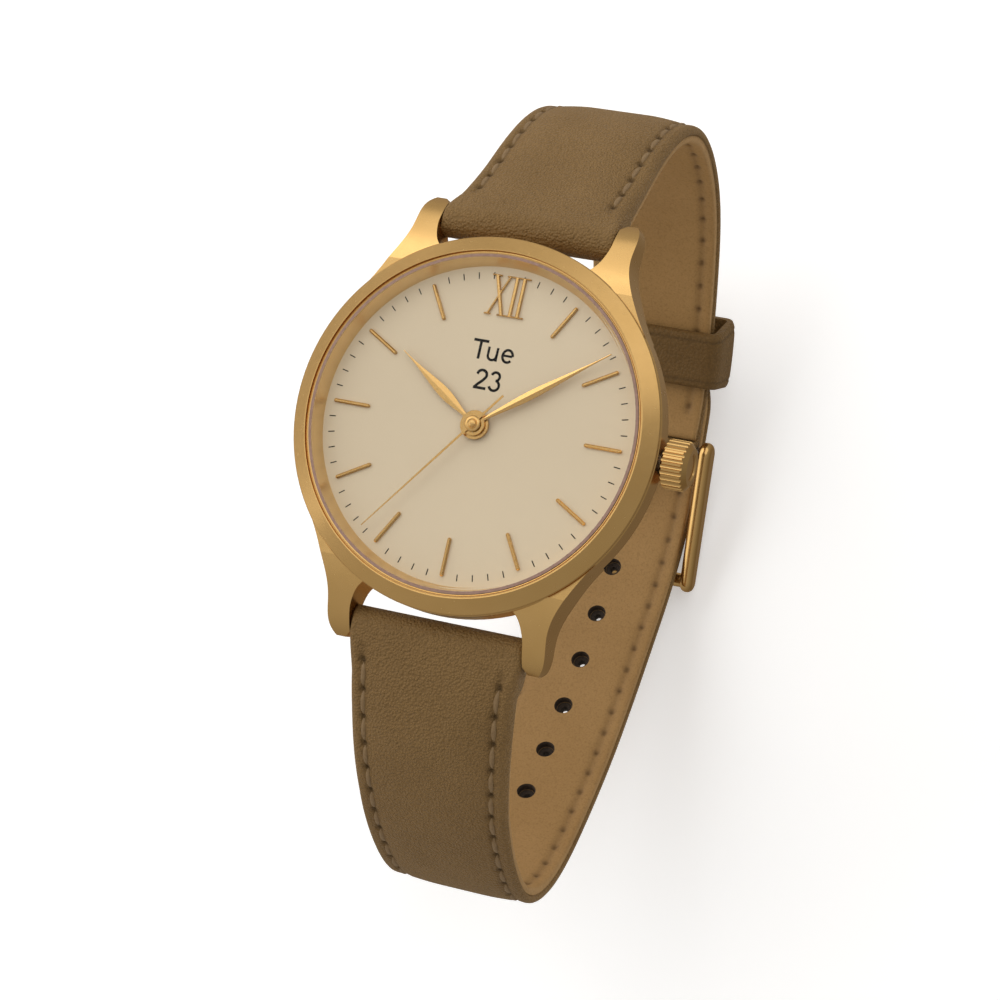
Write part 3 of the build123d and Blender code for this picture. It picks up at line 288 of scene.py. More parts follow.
def leather(name, light, dark, painted_shade, pebble, depth, creases):
    """Leather with a fine pebble grain, a quiet change of tone, painted shade in the crevices of the grain,
    and painted shade in the stitch grooves, the dimples by the stitches and pressed lines.
    """
    look = Look(name, light, 0.56, Specular_IOR_Level=0.18, Sheen_Weight=0.015, Sheen_Roughness=0.5)
    look.shader.inputs["Sheen Tint"].default_value = (1.0, 0.85, 0.6, 1)
    base = look.ramp(look.noise(0.11, 3, 0.5), (0.35, dark), (0.65, light))
    shade = look.add("ShaderNodeVectorMath", operation="SCALE")
    look.link(base, shade.inputs[0])
    look.link(look.ranged(look.noise(2.6, 5, 0.65), 0.3, 0.7, 0.93, 1.05), shade.inputs["Scale"])
    cells = look.cells(pebble)
    # painted shade: darker in the crevices between the pebbles of the grain
    grain_and_shade = look.mixed(look.ranged(cells, 0.5, 0.85, 0.0, 0.22), shade.outputs[0], painted_shade)
    # painted shade from the pinch attribute: darker in the stitch grooves, the dimples by the stitches and
    # the keeper's pressed lines
    look.colour(look.mixed(look.attribute("pinch"), grain_and_shade, painted_shade))
    look.rough(look.ranged(look.noise(3.0, 4), 0.3, 0.7, 0.48, 0.6))
    look.bump(look.noise(0.5, 2, 0.5), 0.05, 0.3)
    if creases:
        fold = look.maths("MULTIPLY", look.noise(1.0, 4, 0.6, (1.5, 0.55, 0.55)), look.attribute("bend"))
        look.bump(fold, creases)
    look.bump(look.ranged(cells, 0.05, 0.75, 1.0, 0.0), depth)
    look.bump(look.noise(11.0, 4, 0.7), depth * 0.5, 0.6)
    return look


looks["outer_leather"] = leather(
    "outer_leather", light=(0.244, 0.142, 0.05), dark=(0.219, 0.126, 0.043), painted_shade=(0.05, 0.028, 0.01),
    pebble=3.9, depth=0.115, creases=0.12,
)
looks["lining_leather"] = leather(
    "lining_leather", light=(0.385, 0.223, 0.082), dark=(0.355, 0.203, 0.072), painted_shade=(0.13, 0.07, 0.024),
    pebble=4.8, depth=0.01, creases=0,
)
# The keeper's leather is the strap's outer leather made darker: painted shade, as the keeper sits in shade.
looks["keeper_leather"] = leather(
    "keeper_leather", light=(0.168, 0.094, 0.029), dark=(0.15, 0.082, 0.025), painted_shade=(0.04, 0.022, 0.008),
    pebble=3.4, depth=0.07, creases=0,
)


def thread_look():
    """Waxed thread, a little lighter than the leather, with a fibre grain along the strap."""
    look = Look("strap_thread", (0.17, 0.105, 0.055), 0.6, Specular_IOR_Level=0.35)
    look.colour(look.ramp(look.noise(3.0, 3), (0.3, (0.2, 0.122, 0.052)), (0.7, (0.245, 0.155, 0.07))))
    look.bump(look.noise(7.0, 2, stretch=(1, 0.4, 0.4)), 0.05)
    look.rough(look.ranged(look.noise(5.0, 2), 0.3, 0.7, 0.5, 0.68))
    return look


looks["strap_thread"] = thread_look()
hole_look = plastic("hole_wall", (0.05, 0.03, 0.016), (0.03, 0.018, 0.01), 0.75, 4.0, 0.04)

# A CAD node's material has its slot's name, sometimes with a number after a dot.
for name, thing in nodes.items():
    given = thing.data.materials[0].name.split(".")[0]
    look = looks.get(given)
    if look is None:
        raise SystemExit(f"no look for {name}: {given}")
    for material_slot in thing.material_slots:
        material_slot.material = look.material
for material_slot in nodes["rehaut_ring"].material_slots:
    material_slot.material = looks["gold_rehaut"].material


# =====================================================================
# Mesh helpers
# =====================================================================
def piece_from(name, vertices, faces, look, body, slot, smooth=True):
    """A mesh object from millimetre points, riding on a body."""
    mesh = bpy.data.meshes.new(name)
    mesh.from_pydata([(x * MM, y * MM, z * MM) for x, y, z in vertices], [], faces)
    mesh.materials.append(look.material)
    mesh.validate()
    made = bpy.data.objects.new(name, mesh)
    bpy.context.scene.collection.objects.link(made)
    form = bmesh.new()
    form.from_mesh(mesh)
    bmesh.ops.recalc_face_normals(form, faces=form.faces)
    form.to_mesh(mesh)
    form.free()
    for polygon in mesh.polygons:
        polygon.use_smooth = smooth
    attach(made, body)
    return made


def loft(rings, capped=True):
    """Vertices and faces of a tube through closed rings of equal length."""
    vertices = [point for ring in rings for point in ring]
    size = len(rings[0])
    faces = []
    for row in range(len(rings) - 1):
        for column in range(size):
            after = (column + 1) % size
            here, above = row * size, (row + 1) * size
            faces.append((here + column, here + after, above + after, above + column))
    if capped:
        faces.append(tuple(reversed(range(size))))
        faces.append(tuple(range((len(rings) - 1) * size, len(rings) * size)))
    return vertices, faces


class Path:
    """A smooth curve through (y, z) points, read by the length along it in millimetres."""

    def __init__(self, points, outward):
        points = np.array(points, float)
        knots = np.concatenate([[0], np.cumsum(np.linalg.norm(np.diff(points, axis=0), axis=1))])
        count = len(knots)
        gap = np.diff(knots)
        system = np.zeros((count, count))
        right = np.zeros((count, 2))
        system[0, :2] = 1, -1
        system[-1, -2:] = -1, 1
        for row in range(1, count - 1):
            system[row, row - 1] = gap[row - 1]
            system[row, row] = 2 * (gap[row - 1] + gap[row])
            system[row, row + 1] = gap[row]
            ahead = (points[row + 1] - points[row]) / gap[row]
            behind = (points[row] - points[row - 1]) / gap[row - 1]
            right[row] = 6 * (ahead - behind)
        bend = np.linalg.solve(system, right)
        dense = []
        for row in range(count - 1):
            for share in np.linspace(0, 1, 60, endpoint=row == count - 2):
                a, b = 1 - share, share
                dense.append(
                    a * points[row] + b * points[row + 1]
                    + ((a**3 - a) * bend[row] + (b**3 - b) * bend[row + 1]) * gap[row] ** 2 / 6
                )
        self.dense = np.array(dense)
        self.at = np.concatenate([[0], np.cumsum(np.linalg.norm(np.diff(self.dense, axis=0), axis=1))])
        self.length = float(self.at[-1])
        self.outward = outward

    def frame(self, distance):
        """The point, heading and outward normal at a distance, straight on beyond either end."""
        inside = min(max(distance, 0.0), self.length)
        point = np.array([np.interp(inside, self.at, self.dense[:, k]) for k in (0, 1)])
        low, high = max(inside - 0.2, 0), min(inside + 0.2, self.length)
        ends = [np.array([np.interp(d, self.at, self.dense[:, k]) for k in (0, 1)]) for d in (low, high)]
        heading = (ends[1] - ends[0]) / np.linalg.norm(ends[1] - ends[0])
        point = point + heading * (distance - inside)
        normal = np.array([-self.outward * heading[1], self.outward * heading[0]])
        return point, heading, normal


def eased(t):
    t = min(max(t, 0.0), 1.0)
    return t * t * (3 - 2 * t)


# =====================================================================
# Strap halves
# =====================================================================
class Half:
    """One half of the strap: its path, thickness, width, and where its stitches are.

    The thickness goes from near to far over a share of the length. The nose is the round over
    the spring bar: the distance along the path, height above it, and radius of its centre.
    """

    def __init__(self, points, outward, near, far, over, widths, nose, stitch_from, stitch_to, tip):
        self.path = Path(points, outward)
        self.near, self.far, self.over = near, far, over
        self.widths = widths
        self.nose = nose
        self.tip = tip
        room = self.path.length - stitch_to - stitch_from
        self.count = int(room / STITCH_PITCH)
        self.pitch = room / self.count
        self.stitch_from = stitch_from

    def thickness(self, s):
        return self.near + (self.far - self.near) * eased(s / (self.over * self.path.length))

    def half_width(self, s):
        point = self.path.frame(s)[0]
        width = float(np.interp(point[1], *self.widths))
        if self.tip:
            left = self.path.length - s
            if left < TIP_REACH:
                width *= math.sqrt(max(1 - ((TIP_REACH - left) / TIP_REACH) ** 2, 0.0004))
        return width

    def pad(self, s):
        """How much lower the edge is than the padded middle."""
        return (0.75 * (1 - eased(s / 45)) + 0.12) * (0.3 + 0.7 * eased((s - self.nose[0]) / 13.0))

    def groove(self, s, inset):
        """The depth of the stitch groove and of the dimples at the stitches' ends."""
        if s < self.stitch_from - 1.5 or s > self.stitch_from + self.count * self.pitch + 1.0:
            return 0.0, 0.0
        across = math.exp(-(((inset - STITCH_INSET) / 0.42) ** 2))
        phase = ((s - self.stitch_from) / self.pitch + 0.5) % 1.0 - 0.5
        along = math.exp(-((phase * self.pitch / 0.3) ** 2))
        pinch = along * math.exp(-(((inset - STITCH_INSET) / 0.34) ** 2))
        return GROOVE_DEPTH * across, pinch


def columns(width):
    """Places across the strap, closest together by the edges and the stitch lines."""
    scale = width / FULL_HALF_WIDTH
    left = [-(width - inset * scale) for inset in COLUMN_INSETS]
    return left + [0.0] + [-x for x in reversed(left)]


def outer_ring(half, s, low, high, edge_r):
    """One closed cross-section of the outer leather, with the painted shade of each of its points, darkest
    in the stitch groove and at the dimples by the stitches.
    """
    point, heading, normal = half.path.frame(s)
    width = half.half_width(s)
    top, dark = [], []
    thick = high - low
    radius = min(edge_r, thick * 0.48, width * 0.5)
    pad = min(half.pad(s), thick * 0.3)
    for x in columns(width):
        inset = width - abs(x)
        drop = pad * (1 - eased(inset / PAD_REACH))
        if inset < radius:
            drop += radius - math.sqrt(max(radius**2 - (radius - inset) ** 2, 0))
        groove, pinch = half.groove(s, inset)
        share = min(1.0, width / 5)
        top.append((x, max(high - drop - (groove + 0.3 * pinch) * share, low + 0.02 * thick)))
        # painted shade: darker along the stitch groove and at the dimples by the stitches
        dark.append(min(1.0, 0.2 * groove / GROOVE_DEPTH + 0.7 * pinch))
    under = 0.28 * min(1, thick)
    narrow = min(1, width / 4)
    bend = [(width, low + under), (width - 0.08 * narrow, low + under * 0.35), (width - 0.3 * narrow, low)]
    flat = [(width * (1 - 2 * k / 10), low) for k in range(1, 10)]
    bottom = bend + flat + [(-x, n) for x, n in reversed(bend)]
    loop = top + bottom
    dark += [0.0] * len(bottom)
    return [(x, point[0] + normal[0] * n, point[1] + normal[1] * n) for x, n in loop], dark


def lining_ring(half, s, low, high):
    """One closed cross-section of the lining, with the painted shade of each of its points, darkest in the
    stitch groove and at the dimples by the stitches.
    """
    point, heading, normal = half.path.frame(s)
    width = half.half_width(s) - LINING_INSET
    bottom, dark = [], []
    for x in reversed(columns(width)):
        inset = width - abs(x) + LINING_INSET
        drop = 0.0
        if inset - LINING_INSET < 0.3:
            drop = 0.3 - math.sqrt(max(0.09 - (0.3 - inset + LINING_INSET) ** 2, 0))
        groove, pinch = half.groove(s, inset - 0.1)
        bottom.append((x, low + drop + 0.7 * groove + 0.22 * pinch))
        # painted shade: darker along the stitch groove and at the dimples by the stitches
        dark.append(min(1.0, 0.3 * groove / GROOVE_DEPTH + 0.75 * pinch))
    top = [(width * (2 * k / 10 - 1), high) for k in range(11)]
    loop = top + bottom
    dark = [0.0] * len(top) + dark
    return [(x, point[0] + normal[0] * n, point[1] + normal[1] * n) for x, n in loop], dark


def with_painted_shade_and_bend(made, dark):
    """Store each point's painted shade as the pinch attribute, and how strongly the leather creases round
    the spring bars.
    """
    pinch = made.data.attributes.new("pinch", "FLOAT", "POINT").data
    pinch.foreach_set("value", np.array(dark, np.float32))
    bend = []
    for vertex in made.data.vertices:
        y, z = abs(vertex.co.y) / MM, vertex.co.z / MM
        away = math.hypot(y - BAR_Y, z - BAR_Z)
        bend.append(0.12 + 0.88 * (1 - eased((away - 1.6) / 6.0)))
    creased = made.data.attributes.new("bend", "FLOAT", "POINT").data
    creased.foreach_set("value", np.array(bend, np.float32))


def cut(made, cutters):
    """Take the cutters' space out of a piece; the new walls keep the cutters' material."""
    joined_vertices, joined_faces = [], []
    for vertices, faces in cutters:
        start = len(joined_vertices)
        joined_vertices += vertices
        joined_faces += [tuple(start + i for i in face) for face in faces]
    mesh = bpy.data.meshes.new("cutter")
    mesh.from_pydata([(x * MM, y * MM, z * MM) for x, y, z in joined_vertices], [], joined_faces)
    mesh.materials.append(hole_look.material)
    form = bmesh.new()
    form.from_mesh(mesh)
    bmesh.ops.recalc_face_normals(form, faces=form.faces)
    form.to_mesh(mesh)
    form.free()
    cutter = bpy.data.objects.new("cutter", mesh)
    bpy.context.scene.collection.objects.link(cutter)
    made.data.materials.append(hole_look.material)
    step = made.modifiers.new("cut", "BOOLEAN")
    step.operation = "DIFFERENCE"
    step.solver = "EXACT"
    step.object = cutter
    step.material_mode = "TRANSFER"
    bpy.context.view_layer.update()
    result = bpy.data.meshes.new_from_object(made.evaluated_get(bpy.context.evaluated_depsgraph_get()))
    made.modifiers.clear()
    old = made.data
    made.data = result
    bpy.data.meshes.remove(old)
    bpy.data.objects.remove(cutter)
    bpy.data.meshes.remove(mesh)
    result.set_sharp_from_angle(angle=math.radians(SHARP_ANGLE))


def bar_cutter(centre, radius, half_length, end_radius):
    """A bore along a bar, narrower near its ends, where only the bar's pins pass."""
    rings = []
    steps = ((-10, end_radius), (-half_length, end_radius), (-half_length + 0.01, radius))
    for x, bore in steps + tuple((-x, r) for x, r in reversed(steps)):
        rings.append([
            (x, centre[0] + bore * math.cos(a), centre[1] + bore * math.sin(a))
            for a in np.linspace(0, 2 * math.pi, 40, endpoint=False)
        ])
    return loft(rings)


def hole_cutter(half, s, length, radius, outer_radius):
    """A round or long hole at a distance along the strap, flared at the lining, narrower outside."""
    point, heading, normal = half.path.frame(s)
    straight = (length - 2 * radius) / 2
    rings = []
    closing = outer_radius - radius
    profile = ((-1.5, 0.1), (-0.02, 0.1), (0.14, 0.0), (0.75, 0.0), (1.0, closing), (4.0, closing))
    for n, grow in profile:
        ring = []
        for a in np.linspace(0, 2 * math.pi, 32, endpoint=False):
            along = (radius + grow) * math.cos(a) + (straight if math.cos(a) > 0 else -straight)
            x = (radius + grow) * math.sin(a)
            spot = point + heading * along + normal * n
            ring.append((x, spot[0], spot[1]))
        rings.append(ring)
    return loft(rings)


def stitches(name, half):
    """Threads along both sides, each a short bowed strand that dips into the leather at its ends."""
    vertices, faces = [], []
    for side in (-1, 1):
        for number in range(half.count):
            middle = half.stitch_from + (number + 0.5) * half.pitch
            lean = 0.05 * side + random.uniform(-0.02, 0.02)
            length = STITCH_LENGTH * random.uniform(0.96, 1.04)
            rings = []
            for t in np.linspace(-1, 1, 11):
                s = middle + t * length / 2
                point, heading, normal = half.path.frame(s)
                width = half.half_width(s)
                x = side * (width - STITCH_INSET) + lean * t
                top = groove_height(half, s, STITCH_INSET)
                rise = 0.1 - 0.32 * abs(t) ** 2.6
                radius = 0.2 * math.sqrt(max(1 - abs(t) ** 2.0, 0)) + 0.03
                centre = top - 0.12 + rise
                rings.append([
                    (x + radius * 1.3 * math.cos(a),
                     point[0] + normal[0] * (centre + radius * math.sin(a)),
                     point[1] + normal[1] * (centre + radius * math.sin(a)))
                    for a in np.linspace(0, 2 * math.pi, 10, endpoint=False)
                ])
            new_vertices, new_faces = loft(rings)
            start = len(vertices)
            vertices += new_vertices
            faces += [tuple(start + i for i in face) for face in new_faces]
    piece_from(name, vertices, faces, looks["strap_thread"], "case", "outer_leather")


def groove_height(half, s, inset):
    """The height of the leather's top at an inset, without its pinches."""
    pad = min(half.pad(s), (half.thickness(s) - LINING_T) * 0.3)
    return half.thickness(s) - pad * (1 - eased(inset / PAD_REACH)) - GROOVE_DEPTH


def build_outer(name, half, end_cap, cutters, node):
    """The outer leather of a half, rounded over its spring bar.

    end_cap is the radius of its fold round the buckle's bar, or None where it has a free tip.
    """
    rings, dark = [], []
    lug_s, lug_n, lug_r = half.nose
    places = [lug_s - lug_r * math.cos(a) for a in np.linspace(0.1, math.pi / 2, 12)]
    start = places[-1]
    stop = half.path.length
    step = 0.3
    for s in places + list(np.arange(start + step, stop - 0.02, step)) + [stop]:
        high = half.thickness(s)
        if s < lug_s:
            reach = math.sqrt(max(lug_r**2 - (s - lug_s) ** 2, 0.0001))
            low, high = lug_n - reach, lug_n + reach
        else:
            share = eased((s - lug_s) / 3.5)
            low = (lug_n - lug_r) * (1 - share) + LINING_T * eased((s - 3.4) / 1.1)
            high = (lug_n + lug_r) * (1 - share) + high * share
        left = stop - s
        if end_cap:
            if left < 1.4:
                low = LINING_T * (1 - eased((1.4 - left) / 0.8))
                bulge = eased((3.2 - left) / 3.0)
                high = high + (2 * end_cap - high) * bulge
        elif left < 0.6:
            shrink = math.sqrt(max(1 - ((0.6 - left) / 0.6) ** 2, 0.02))
            high = low + (high - low) * (0.35 + 0.65 * shrink)
        ring, shades = outer_ring(half, s, low, high, 0.45 + 0.5 * eased((s - lug_s) / 4))
        rings.append(ring)
        dark += shades
    if end_cap:
        for a in np.linspace(0.12, math.pi / 2 - 0.08, 10):
            s = stop + end_cap * math.sin(a)
            reach = end_cap * math.cos(a)
            ring, shades = outer_ring(half, s, end_cap - reach, end_cap + reach, 0.95)
            rings.append(ring)
            dark += shades
    made = piece_from(name, *loft(rings), looks["outer_leather"], "case", "outer_leather")
    with_painted_shade_and_bend(made, dark)
    cut(made, cutters)
    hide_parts(node)


def build_lining(name, half, start, stop, cutters, node):
    """The lining of a half between two distances along it."""
    rings, dark = [], []
    count = int((stop - start) / 0.32)
    for s in np.linspace(start, stop, count):
        end = min(s - start, stop - s)
        high = LINING_T - 0.02
        low = 0.25 * (1 - eased(end / 0.5))
        ring, shades = lining_ring(half, s, low, high)
        rings.append(ring)
        dark += shades
    made = piece_from(name, *loft(rings), looks["lining_leather"], "case", "lining_leather")
    with_painted_shade_and_bend(made, dark)
    if cutters:
        cut(made, cutters)
    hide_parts(node)


twelve = Half(
    TWELVE_PATH, outward=1, near=3.4, far=2.05, over=0.45, widths=TWELVE_WIDTHS,
    nose=(-0.75, 1.35, 1.9), stitch_from=3.6, stitch_to=5.0, tip=False,
)
six = Half(
    SIX_PATH, outward=-1, near=3.2, far=1.9, over=0.25, widths=SIX_WIDTHS,
    nose=(0.2, 1.57, 1.6), stitch_from=3.4, stitch_to=6.5, tip=True,
)

TONGUE_GAP = ((5.4, -51.6), (10.8, -51.6), (10.8, -47.05), (5.4, -47.05))
tongue_gap = loft([[(x, y, z) for y, z in TONGUE_GAP] for x in (-1.5, 1.5)])
twelve_bar = bar_cutter((BAR_Y, BAR_Z), BAR_R, BAR_HALF_LENGTH, PIN_R)
six_bar = bar_cutter((-BAR_Y, BAR_Z), BAR_R, BAR_HALF_LENGTH, PIN_R)
buckle_bar = bar_cutter(BUCKLE_BAR, BUCKLE_BAR_R, 9, BUCKLE_BAR_R)
build_outer(
    "strap_twelve_leather", twelve, BUCKLE_ROUND, [twelve_bar, buckle_bar, tongue_gap], "strap_twelve_outer"
)
build_lining(
    "strap_twelve_lining_leather", twelve, LINING_FROM, twelve.path.length - 1.3, [], "strap_twelve_lining"
)
six_holes = []
for number in range(HOLES):
    spot = six.path.length - FIRST_HOLE - number * HOLE_PITCH
    length = 2 * HOLE_R if number else TONGUE_SLOT
    mouth = OUTER_HOLE_SHARE * HOLE_R if number else HOLE_R
    six_holes.append(hole_cutter(six, spot, length, HOLE_R, mouth))
build_outer("strap_six_leather", six, None, [six_bar] + six_holes, "strap_six_outer")
build_lining(
    "strap_six_lining_leather", six, LINING_FROM, six.path.length - 0.25, six_holes, "strap_six_lining"
)
stitches("strap_twelve_stitching", twelve)
stitches("strap_six_stitching", six)

# =====================================================================
# Keeper: it slides on an arc, so its places are radii and angles about the arc's centre
# =====================================================================
KEEPER_CENTRE = (9.2, -23.6)
KEEPER_LOW, KEEPER_HIGH, KEEPER_HALF, KEEPER_WALL = 23.95, 29.0, 7.55, 1.1
KEEPER_CORNER = 1.5
KEEPER_ANGLE, KEEPER_HALF_ANGLE = 23.3, 7.68
CREASE_AT, CREASE_DEPTH = 0.74, 0.09  # the pressed line near each edge


def keeper_outline():
    """Points round the keeper's outside, each with the angle that it faces."""
    corners = []
    low, high = KEEPER_LOW - KEEPER_WALL, KEEPER_HIGH + KEEPER_WALL
    wide = KEEPER_HALF + KEEPER_WALL
    for cx, cr, first in ((wide, high, 0), (-wide, high, 90), (-wide, low, 180), (wide, low, 270)):
        middle_x = cx - math.copysign(KEEPER_CORNER, cx)
        middle_r = cr - KEEPER_CORNER if cr == high else cr + KEEPER_CORNER
        for a in np.linspace(first, first + 90, 7):
            turned = math.radians(a)
            x = middle_x + KEEPER_CORNER * math.cos(turned)
            corners.append((x, middle_r + KEEPER_CORNER * math.sin(turned), a))
    dense = []
    for k, here in enumerate(corners):
        there = corners[(k + 1) % len(corners)]
        span_x, span_r = there[0] - here[0], there[1] - here[1]
        parts = max(1, int(math.hypot(span_x, span_r) / 0.6))
        turn = (there[2] - here[2]) % 360
        for part in range(parts):
            t = part / parts
            dense.append((here[0] + span_x * t, here[1] + span_r * t, here[2] + turn * t))
    return dense


def build_keeper():
    """The leather loop: a band bent into a rounded box, softly domed across its width."""
    section = []
    for t in np.linspace(-1, 1, 25):
        fall = 0.28 * max(0.0, (abs(t) - 0.72) / 0.28) ** 2.2 + 0.04 * t * t
        line = CREASE_DEPTH * math.exp(-(((abs(t) - CREASE_AT) / 0.045) ** 2))
        section.append((t, fall + line))
    for t in np.linspace(1, -1, 13):
        section.append((t, KEEPER_WALL - 0.12 * max(0.0, (abs(t) - 0.8) / 0.2) ** 2))
    rings, dark = [], []
    for x, r, a in keeper_outline():
        nx, nr = math.cos(math.radians(a)), math.sin(math.radians(a))
        ring = []
        for t, depth in section:
            px, pr = x - nx * depth, r - nr * depth
            angle = math.radians(KEEPER_ANGLE + KEEPER_HALF_ANGLE * t)
            y, z = KEEPER_CENTRE[0] + pr * math.sin(angle), KEEPER_CENTRE[1] - pr * math.cos(angle)
            ring.append((px, y, z))
            # painted shade along the pressed line near each edge
            dark.append(0.35 if abs(abs(t) - CREASE_AT) < 0.05 and depth < 0.5 else 0.0)
        rings.append(ring)
    size = len(section)
    count = len(rings)
    vertices, faces = loft(rings + [rings[0]], capped=False)
    faces = [tuple(i % (size * count) for i in face) for face in faces]
    vertices = vertices[: size * count]
    made = piece_from("keeper_leather", vertices, faces, looks["keeper_leather"], "keeper", "outer_leather")
    with_painted_shade_and_bend(made, dark)
    made.data.set_sharp_from_angle(angle=math.radians(KEEPER_SHARP_ANGLE))
    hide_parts("keeper")


build_keeper()


# =====================================================================
# Print on the dial
# =====================================================================
INK_LOW, INK_TOP = 5.0, 5.012
INK_STROKE = 0.27
TICK_IN, TICK_OUT, TICK_WIDTH = 14.5, 15.15, 0.1


def ribbon(points, width):
    """A flat stroke of even width along dial points, as a thin solid."""
    points = [np.array(p, float) for p in points]
    last = len(points) - 1
    rings = []
    for k in range(last + 1):
        before, after = points[max(k - 1, 0)], points[min(k + 1, last)]
        along = (after - before) / np.linalg.norm(after - before)
        across = np.array([-along[1], along[0]]) * width / 2
        if 0 < k < last:
            first = points[k] - before
            second = after - points[k]
            cosine = float(first @ second / (np.linalg.norm(first) * np.linalg.norm(second)))
            across = across * (1 / math.sqrt(max((1 + cosine) / 2, 0.25)))
        left, right = points[k] + across, points[k] - across
        rings.append([(*left, INK_LOW), (*left, INK_TOP), (*right, INK_TOP), (*right, INK_LOW)])
    return loft(rings)


def bow(cx, cy, rx, ry, first, last, count):
    """Points along an arc of an ellipse, between two angles in degrees."""
    return [
        (cx + rx * math.cos(math.radians(a)), cy + ry * math.sin(math.radians(a)))
        for a in np.linspace(first, last, count)
    ]


def glyph_strokes():
    """The strokes of a generic weekday over a generic number, each with its width."""
    wide, middle, fine = INK_STROKE, INK_STROKE * 0.95, INK_STROKE * 0.9
    u_bowl = bow(0.04, 6.97, 0.44, 0.44, 190, 340, 12)
    two = [(-1.02, 5.0)] + bow(-0.52, 4.98, 0.48, 0.46, 172, -32, 16)
    two += [(-0.36, 4.42), (-0.85, 3.95), (-1.03, 3.68)]
    return [
        ([(-2.1, 8.27), (-0.55, 8.27)], wide),
        ([(-1.325, 8.2), (-1.325, 6.45)], wide),
        ([(-0.4, 7.8), (-0.4, 7.1)] + u_bowl + [(0.5, 7.2), (0.5, 7.8)], fine),
        ([(0.5, 7.3), (0.5, 6.45)], fine),
        ([(1.1, 7.17), (2.08, 7.17)], INK_STROKE * 0.85),
        (bow(1.6, 7.15, 0.51, 0.61, 2, 318, 30), INK_STROKE * 0.92),
        (two, wide),
        ([(-1.17, 3.68), (0.12, 3.68)], wide),
        (bow(0.88, 5.0, 0.42, 0.42, 165, -78, 16), middle),
        (bow(0.9, 4.12, 0.5, 0.5, 82, -165, 18), middle),
    ]


def print_dial():
    """Minute ticks, day and date as one thin piece; overlapping strokes differ a little in height."""
    parts = []
    for minute in range(60):
        if minute % 5 == 0:
            continue
        a = math.radians(90 - 6 * minute)
        ends = [(r * math.cos(a), r * math.sin(a)) for r in (TICK_IN, TICK_OUT)]
        parts.append(ribbon(ends, TICK_WIDTH))
    parts += [ribbon(points, width) for points, width in glyph_strokes()]
    vertices, faces = [], []
    for number, (some, more) in enumerate(parts):
        lift = 0.0004 * (number % 7)
        start = len(vertices)
        vertices += [(x, y, z + (lift if z > INK_LOW else 0)) for x, y, z in some]
        faces += [tuple(start + i for i in face) for face in more]
    piece_from("dial_print", vertices, faces, ink_look, "case", "dial_lacquer", smooth=False)


print_dial()

# =====================================================================
# Camera, floor and lights
# =====================================================================
CAMERA_PLACE = Vector((90.237, -32.702, 254.587)) * MM
LAMP_TARGET = Vector((0, 0, -0.01))
# name: direction, distance and panel size in metres, share of the floor's white, sine of elevation
LAMPS = {
    "top_lamp": ((0.138, 0.66, 0.85), 0.7, (1.1, 0.9), 0.35, 0.78),
    "side_lamp": ((-0.8, 0.2, 0.56), 0.6, (1.0, 0.58), 0.27, 0.56),
}
FLOOR_HALF = 3.0
FLOOR_GLOW = 0.31
WORLD_BASE, WORLD_SLOPE = 0.42, (-0.13, 0.06, 0.16)
WORLD_TINTS = ((0.0, (1, 0.8, 0.52, 1)), (0.47, (1, 0.965, 0.92, 1)), (1.0, (1, 0.99, 0.97, 1)))
RIGHT = Vector((0.92899341, 0.2196129, -0.29789499)).normalized()
BACK = Vector((0.32486965, -0.09831562, 0.94063476)).normalized()
UP = BACK.cross(RIGHT).normalized()
RIGHT = UP.cross(BACK).normalized()
camera_data = bpy.data.cameras.new("camera")
camera_data.lens = 100
camera_data.sensor_width = 36
camera_data.clip_start = 0.01
camera_data.clip_end = 20
camera = bpy.data.objects.new("camera", camera_data)
bpy.context.scene.collection.objects.link(camera)
camera.matrix_world = Matrix.Translation(CAMERA_PLACE) @ Matrix(
    [[RIGHT[k], UP[k], BACK[k]] for k in range(3)]
).to_4x4()
bpy.context.scene.camera = camera

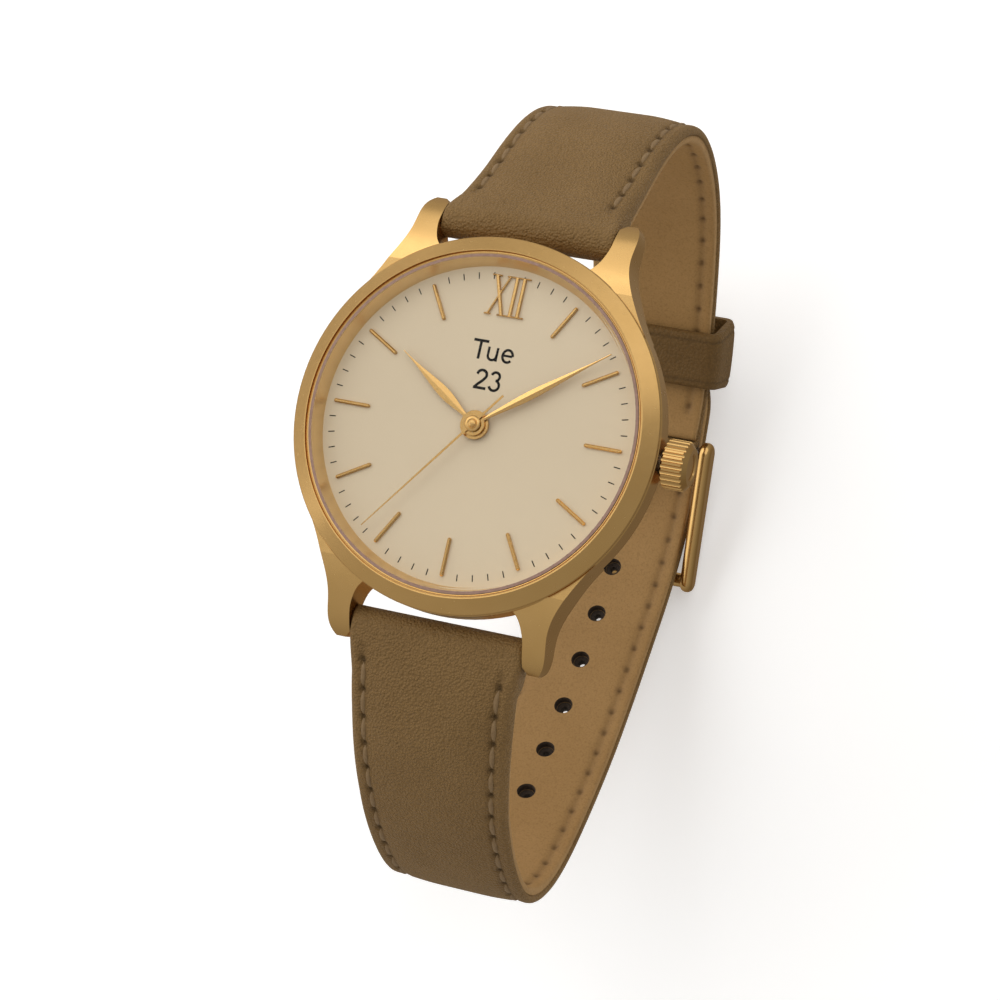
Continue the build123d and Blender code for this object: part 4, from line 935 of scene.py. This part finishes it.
FLOOR_Z = cad_box[0][2] - 0.0004
floor_mesh = bpy.data.meshes.new("floor")
floor_corners = [(x * FLOOR_HALF, y * FLOOR_HALF, FLOOR_Z) for x, y in ((-1, -1), (1, -1), (1, 1), (-1, 1))]
floor_mesh.from_pydata(floor_corners, [], [(0, 1, 2, 3)])
floor = bpy.data.objects.new("floor", floor_mesh)
bpy.context.scene.collection.objects.link(floor)
floor_look = Look("floor_paper", (0.95, 0.95, 0.95), 0.8)
floor_look.shader.inputs["Emission Color"].default_value = (1, 1, 1, 1)
floor_look.shader.inputs["Emission Strength"].default_value = FLOOR_GLOW
floor_tone = floor_look.noise(0.02, 2)
floor_look.colour(floor_look.ramp(floor_tone, (0.3, (0.945, 0.945, 0.945)), (0.7, (0.955, 0.955, 0.955))))
floor.data.materials.append(floor_look.material)
floor.visible_glossy = False


def lamp(name, towards, distance, size, share, rise):
    """A soft panel lamp that shines on the watch and gives the floor a share of white."""
    way = Vector(towards).normalized()
    data = bpy.data.lights.new(name, "AREA")
    data.shape = "RECTANGLE"
    data.size, data.size_y = size
    data.energy = share * math.pi**2 * distance**2 / rise
    made = bpy.data.objects.new(name, data)
    bpy.context.scene.collection.objects.link(made)
    made.location = LAMP_TARGET + way * distance
    made.rotation_mode = "QUATERNION"
    made.rotation_quaternion = (-way).to_track_quat("-Z", "Y")


for name, values in LAMPS.items():
    lamp(name, *values)

world = bpy.data.worlds.new("studio")
world.use_nodes = True
sky = world.node_tree
background = sky.nodes["Background"]
height = sky.nodes.new("ShaderNodeSeparateXYZ")
tint = sky.nodes.new("ShaderNodeValToRGB")
tint.color_ramp.elements.new(0.5)
for element, (position, colour) in zip(tint.color_ramp.elements, WORLD_TINTS):
    element.position = position
    element.color = colour
lifted = sky.nodes.new("ShaderNodeMapRange")
lifted.inputs["From Min"].default_value = -1.0
way = sky.nodes.new("ShaderNodeTexCoord")
side = sky.nodes.new("ShaderNodeVectorMath")
side.operation = "DOT_PRODUCT"
side.inputs[1].default_value = WORLD_SLOPE
brightness = sky.nodes.new("ShaderNodeMath")
brightness.operation = "ADD"
brightness.inputs[1].default_value = WORLD_BASE
sky.links.new(way.outputs["Generated"], side.inputs[0])
sky.links.new(way.outputs["Generated"], height.inputs[0])
sky.links.new(height.outputs["Z"], lifted.inputs["Value"])
sky.links.new(lifted.outputs["Result"], tint.inputs["Fac"])
sky.links.new(tint.outputs["Color"], background.inputs["Color"])
sky.links.new(side.outputs["Value"], brightness.inputs[0])
sky.links.new(brightness.outputs[0], background.inputs["Strength"])
bpy.context.scene.world = world
bpy.context.scene.view_settings.view_transform = "Standard"
